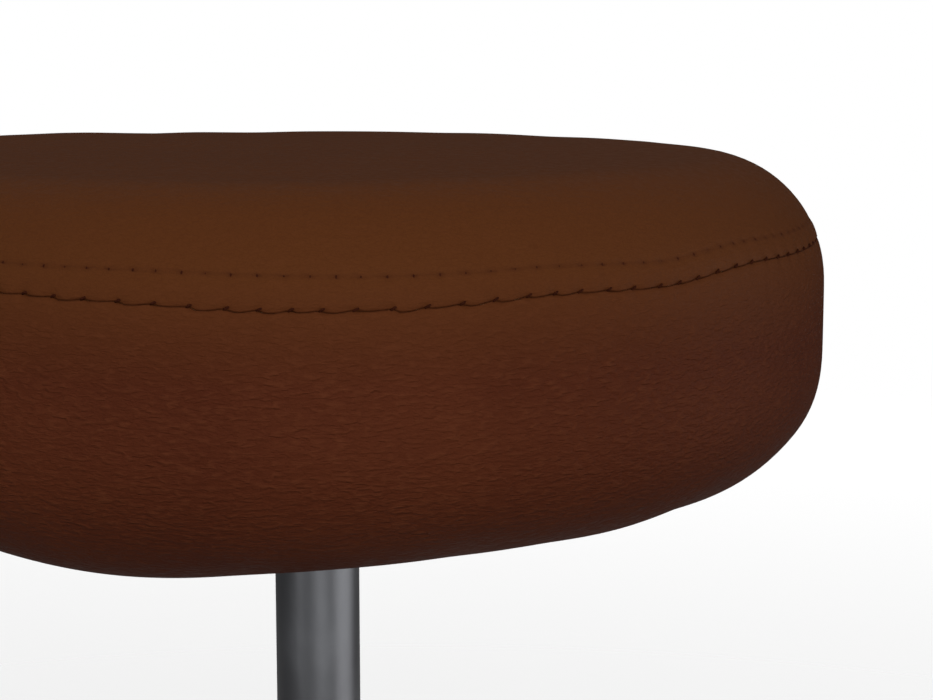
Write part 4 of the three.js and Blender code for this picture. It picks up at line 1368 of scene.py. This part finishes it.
def lever_line():
    """The lever's middle line as a smooth curve through its points."""
    points = [Vector((x * MM, 0, LEVER_HEIGHT + z * MM)) for x, z in LEVER_POINTS]
    points = [2 * points[0] - points[1], *points, 2 * points[-1] - points[-2]]
    line = []
    for share in np.linspace(0, len(points) - 3, LEVER_STATIONS):
        index = min(int(share), len(points) - 4)
        u = share - index
        a, b, c, d = points[index : index + 4]
        square = (2 * a - 5 * b + 4 * c - d) * u**2
        cube = (3 * b - a - 3 * c + d) * u**3
        line.append(0.5 * ((2 * b) + (c - a) * u + square + cube))
    return line


def at_pivot(mesh):
    """Lay a mesh made about Z along Y instead, round the lever's pivot."""
    return shifted(turned_by(mesh, 90, "X"), *PIVOT)


def make_lever():
    """A bent rod with a flat pad over the valve button and an eye for the pivot."""
    bar = swept_mesh("lever", lever_line(), LEVER_ROD_R, 28)
    pad = block(
        (PIVOT.x - 4.5 * MM, -LEVER_HALF_WIDTH, LEVER_HEIGHT - 2.5 * MM),
        (5 * MM, LEVER_HALF_WIDTH, LEVER_HEIGHT + 2.5 * MM),
    )
    eye = at_pivot(drum(5.5 * MM, -LEVER_HALF_WIDTH, LEVER_HALF_WIDTH, 0.1 * MM, 48))
    hole = at_pivot(drum(2.7 * MM, -20 * MM, 20 * MM, segments=32))
    mesh = sharpened(carved("lever_bar", bar, joined=[pad, eye], removed=[hole]))
    bevelled(place_piece("lever_bar", mesh, "zinc", "lever", ["height_lever"]), 0.5 * MM)


GRIP_LENGTH = 56 * MM
GRIP_SWELL = ((0, 8.8), (14, 9.4), (44, 7.9), (56, 6.2))  # millimetres from its free end, and radius there
GRIP_DOME = 6 * MM
GRIP_BORE_R = 4.3 * MM
FINGER_RING_PITCH = 4 * MM


def make_grip():
    """A moulded sleeve with finger rings and a domed end."""
    line = lever_line()
    along = (line[-1] - line[-8]).normalized()
    start = line[-1] + along * 4 * MM
    stations = np.linspace(0, GRIP_LENGTH, 90)
    places, radii = np.array(GRIP_SWELL).T * MM
    dome = np.sqrt(np.clip(1 - ((GRIP_DOME - stations) / GRIP_DOME) ** 2, 0, 1))
    radius = np.interp(stations, places, radii) * np.where(stations < GRIP_DOME, 0.12 + 0.88 * dome, 1)
    held = (stations > 10 * MM) & (stations < 42 * MM)
    radius -= 0.45 * MM * (held & (np.cos(stations / FINGER_RING_PITCH * TURN) < -0.2))
    bore = [(GRIP_BORE_R, GRIP_LENGTH), (GRIP_BORE_R, 5 * MM), (0, 5 * MM)]
    mesh = turned_mesh("lever_sleeve", [(0, 0), *zip(radius[1:], stations[1:]), *bore], 64)
    turn = Vector((0, 0, 1)).rotation_difference(-along).to_matrix().to_4x4()
    moved(mesh, turn, Matrix.Translation(start))
    place_piece("lever_sleeve", mesh, "nylon", "lever", ["lever_grip"])


def make_pivot_pin():
    """A riveted pin: both ends are domed over."""
    end = (high("lever_pivot_pin").y - low("lever_pivot_pin").y) / 2
    mesh = at_pivot(drum(2.5 * MM, -end, end, 0.9 * MM, 40))
    place_piece("pivot_rivet", mesh, "zinc", "seat", ["lever_pivot_pin"])


HEX_R = 5.5 * MM
HEAD_HEIGHT = 5 * MM
FLANGE_R = 7 * MM
FLANGE_HEIGHT = 1.8 * MM


def bolt_mesh(seat):
    """A hexagon head with a domed, chamfered top and a flange, head down, under the plate at height seat."""
    head_top = seat - HEAD_HEIGHT
    flange_foot = seat - FLANGE_HEIGHT
    work = bmesh.new()
    bmesh.ops.create_cone(work, cap_ends=True, segments=6, radius1=HEX_R, radius2=HEX_R, depth=4.4 * MM)
    hexagon = shifted(finished("hexagon", work), 0, 0, seat - 2.8 * MM)
    limit_outline = [
        (0, seat), (FLANGE_R, seat), (5.6 * MM, head_top + 1 * MM), (4.6 * MM, head_top), (0, head_top),
    ]
    flange_outline = [
        (0, seat), (FLANGE_R, seat), (FLANGE_R, seat - 0.8 * MM), (5.4 * MM, flange_foot), (0, flange_foot),
    ]
    limit, flange = (turned_mesh("bolt", outline, 48) for outline in (limit_outline, flange_outline))
    head = carved("head", hexagon, kept=[limit])
    shank = drum(3 * MM, seat - 1 * MM, high("plate_bolt_1").z, segments=24)
    return sharpened(carved("bolt", head, joined=[flange, shank]), 28)


def make_bolts():
    for number in range(1, 5):
        node = f"plate_bolt_{number}"
        middle = (low(node) + high(node)) / 2
        mesh = shifted(bolt_mesh(low(node).z + HEAD_HEIGHT), middle.x, middle.y, 0)
        bevelled(place_piece(f"flange_bolt_{number}", mesh, "zinc", "seat", [node]), 0.15 * MM, 2, 28)


STAPLES = 34
STAPLE_R = 101.5 * MM
STAPLE_SIZE = (1.1 * MM, 10 * MM, 0.55 * MM)
CLOTH = 0.6 * MM
PLATE_CHANNEL = ((-74.5, -12.5), (17.5, 12.5))  # millimetres: corners of the plate's channel for the lever
CHANNEL_MARGIN = 3.5 * MM


def make_dust_cloth():
    """Non-woven cloth under the board, drawn tight by its staples and slightly slack between them."""
    cover_r = high("dust_cover").x
    lowest = low("dust_cover").z
    upper = high("dust_cover").z - CLOTH
    flat_r = HEM_R - 4 * MM
    rings = np.concatenate(
        [[2 * MM], np.linspace(8 * MM, flat_r, 22), np.linspace(HEM_R - 2 * MM, cover_r, 6)]
    )
    radius, angle = np.meshgrid(rings, np.arange(240) * TURN / 240, indexing="ij")
    drop = climb(radius, flat_r, HEM_R)
    between = 0.5 - 0.5 * np.cos(angle * STAPLES)
    slack = climb(radius, 50 * MM, 100 * MM)
    waves = slack * (0.35 * between + 0.25 * np.sin(angle * 11 + radius * 160)) * MM
    z = upper + (lowest - upper) * drop - waves * (1 - drop) - 0.3 * MM * between * drop
    r = radius - 0.8 * MM * between * (radius > cover_r - 0.5 * MM)
    rows = np.stack([r * np.cos(angle), r * np.sin(angle), z], axis=-1)
    top = rows[::-1] + (0, 0, CLOTH)
    closed = grid_mesh("under_cloth", np.concatenate([rows, top]), cap_first=True, cap_last=True)
    closed.flip_normals()
    (left, front), (right, back) = PLATE_CHANNEL
    opening = block(
        (left * MM - CHANNEL_MARGIN, front * MM - CHANNEL_MARGIN, low("mounting_plate").z - 9 * MM),
        (right * MM + CHANNEL_MARGIN, back * MM + CHANNEL_MARGIN, high("mounting_plate").z),
    )
    mesh = carved("under_cloth", closed, removed=[opening])
    place_piece("under_cloth", mesh, "dust_cloth", "seat", ["dust_cover"])


def make_staples():
    """Flat-backed wire staples round the cloth's rim, each a little out of line."""
    height = low("dust_cover").z - 0.25 * MM
    place = Matrix.Translation((STAPLE_R, 0, height))
    random = np.random.default_rng(7)
    work = bmesh.new()
    for number in range(STAPLES):
        bar = bmesh.new()
        bmesh.ops.create_cube(bar, size=1)
        bmesh.ops.bevel(bar, geom=bar.edges[:], offset=0.25, segments=2, affect="EDGES")
        lean = Matrix.Rotation(math.radians(random.normal(0, 7)), 4, "Z")
        turn = Matrix.Rotation(TURN * (number + 0.5 + random.normal(0, 0.05)) / STAPLES, 4, "Z")
        work.from_mesh(moved(finished("staple", bar), Matrix.Diagonal((*STAPLE_SIZE, 1)), lean, place, turn))
    place_piece("staples", finished("staples", work), "zinc", "seat")


# ------------ the whole scene

make_camera()
make_world()
make_floor()
light_studio()
bpy.context.scene.view_settings.view_transform = "Standard"
cover_field = simulate_cover()
make_cover(cover_field)
make_stitching(cover_field)
make_foam(cover_field)
make_pressure_tube()
make_column()
make_bush()
make_socket()
make_star_base()
make_casters()
softened_copy("pressed_plate", "mounting_plate", 0.8 * MM, "seat")
make_lever()
make_grip()
make_pivot_pin()
make_bolts()
make_dust_cloth()
make_staples()

# ------------ CAD nodes that stay

for node_name, node in frame["nodes"].items():
    node.data.materials.clear()
    node.data.materials.append(MATERIALS[SLOTS[node_name]])
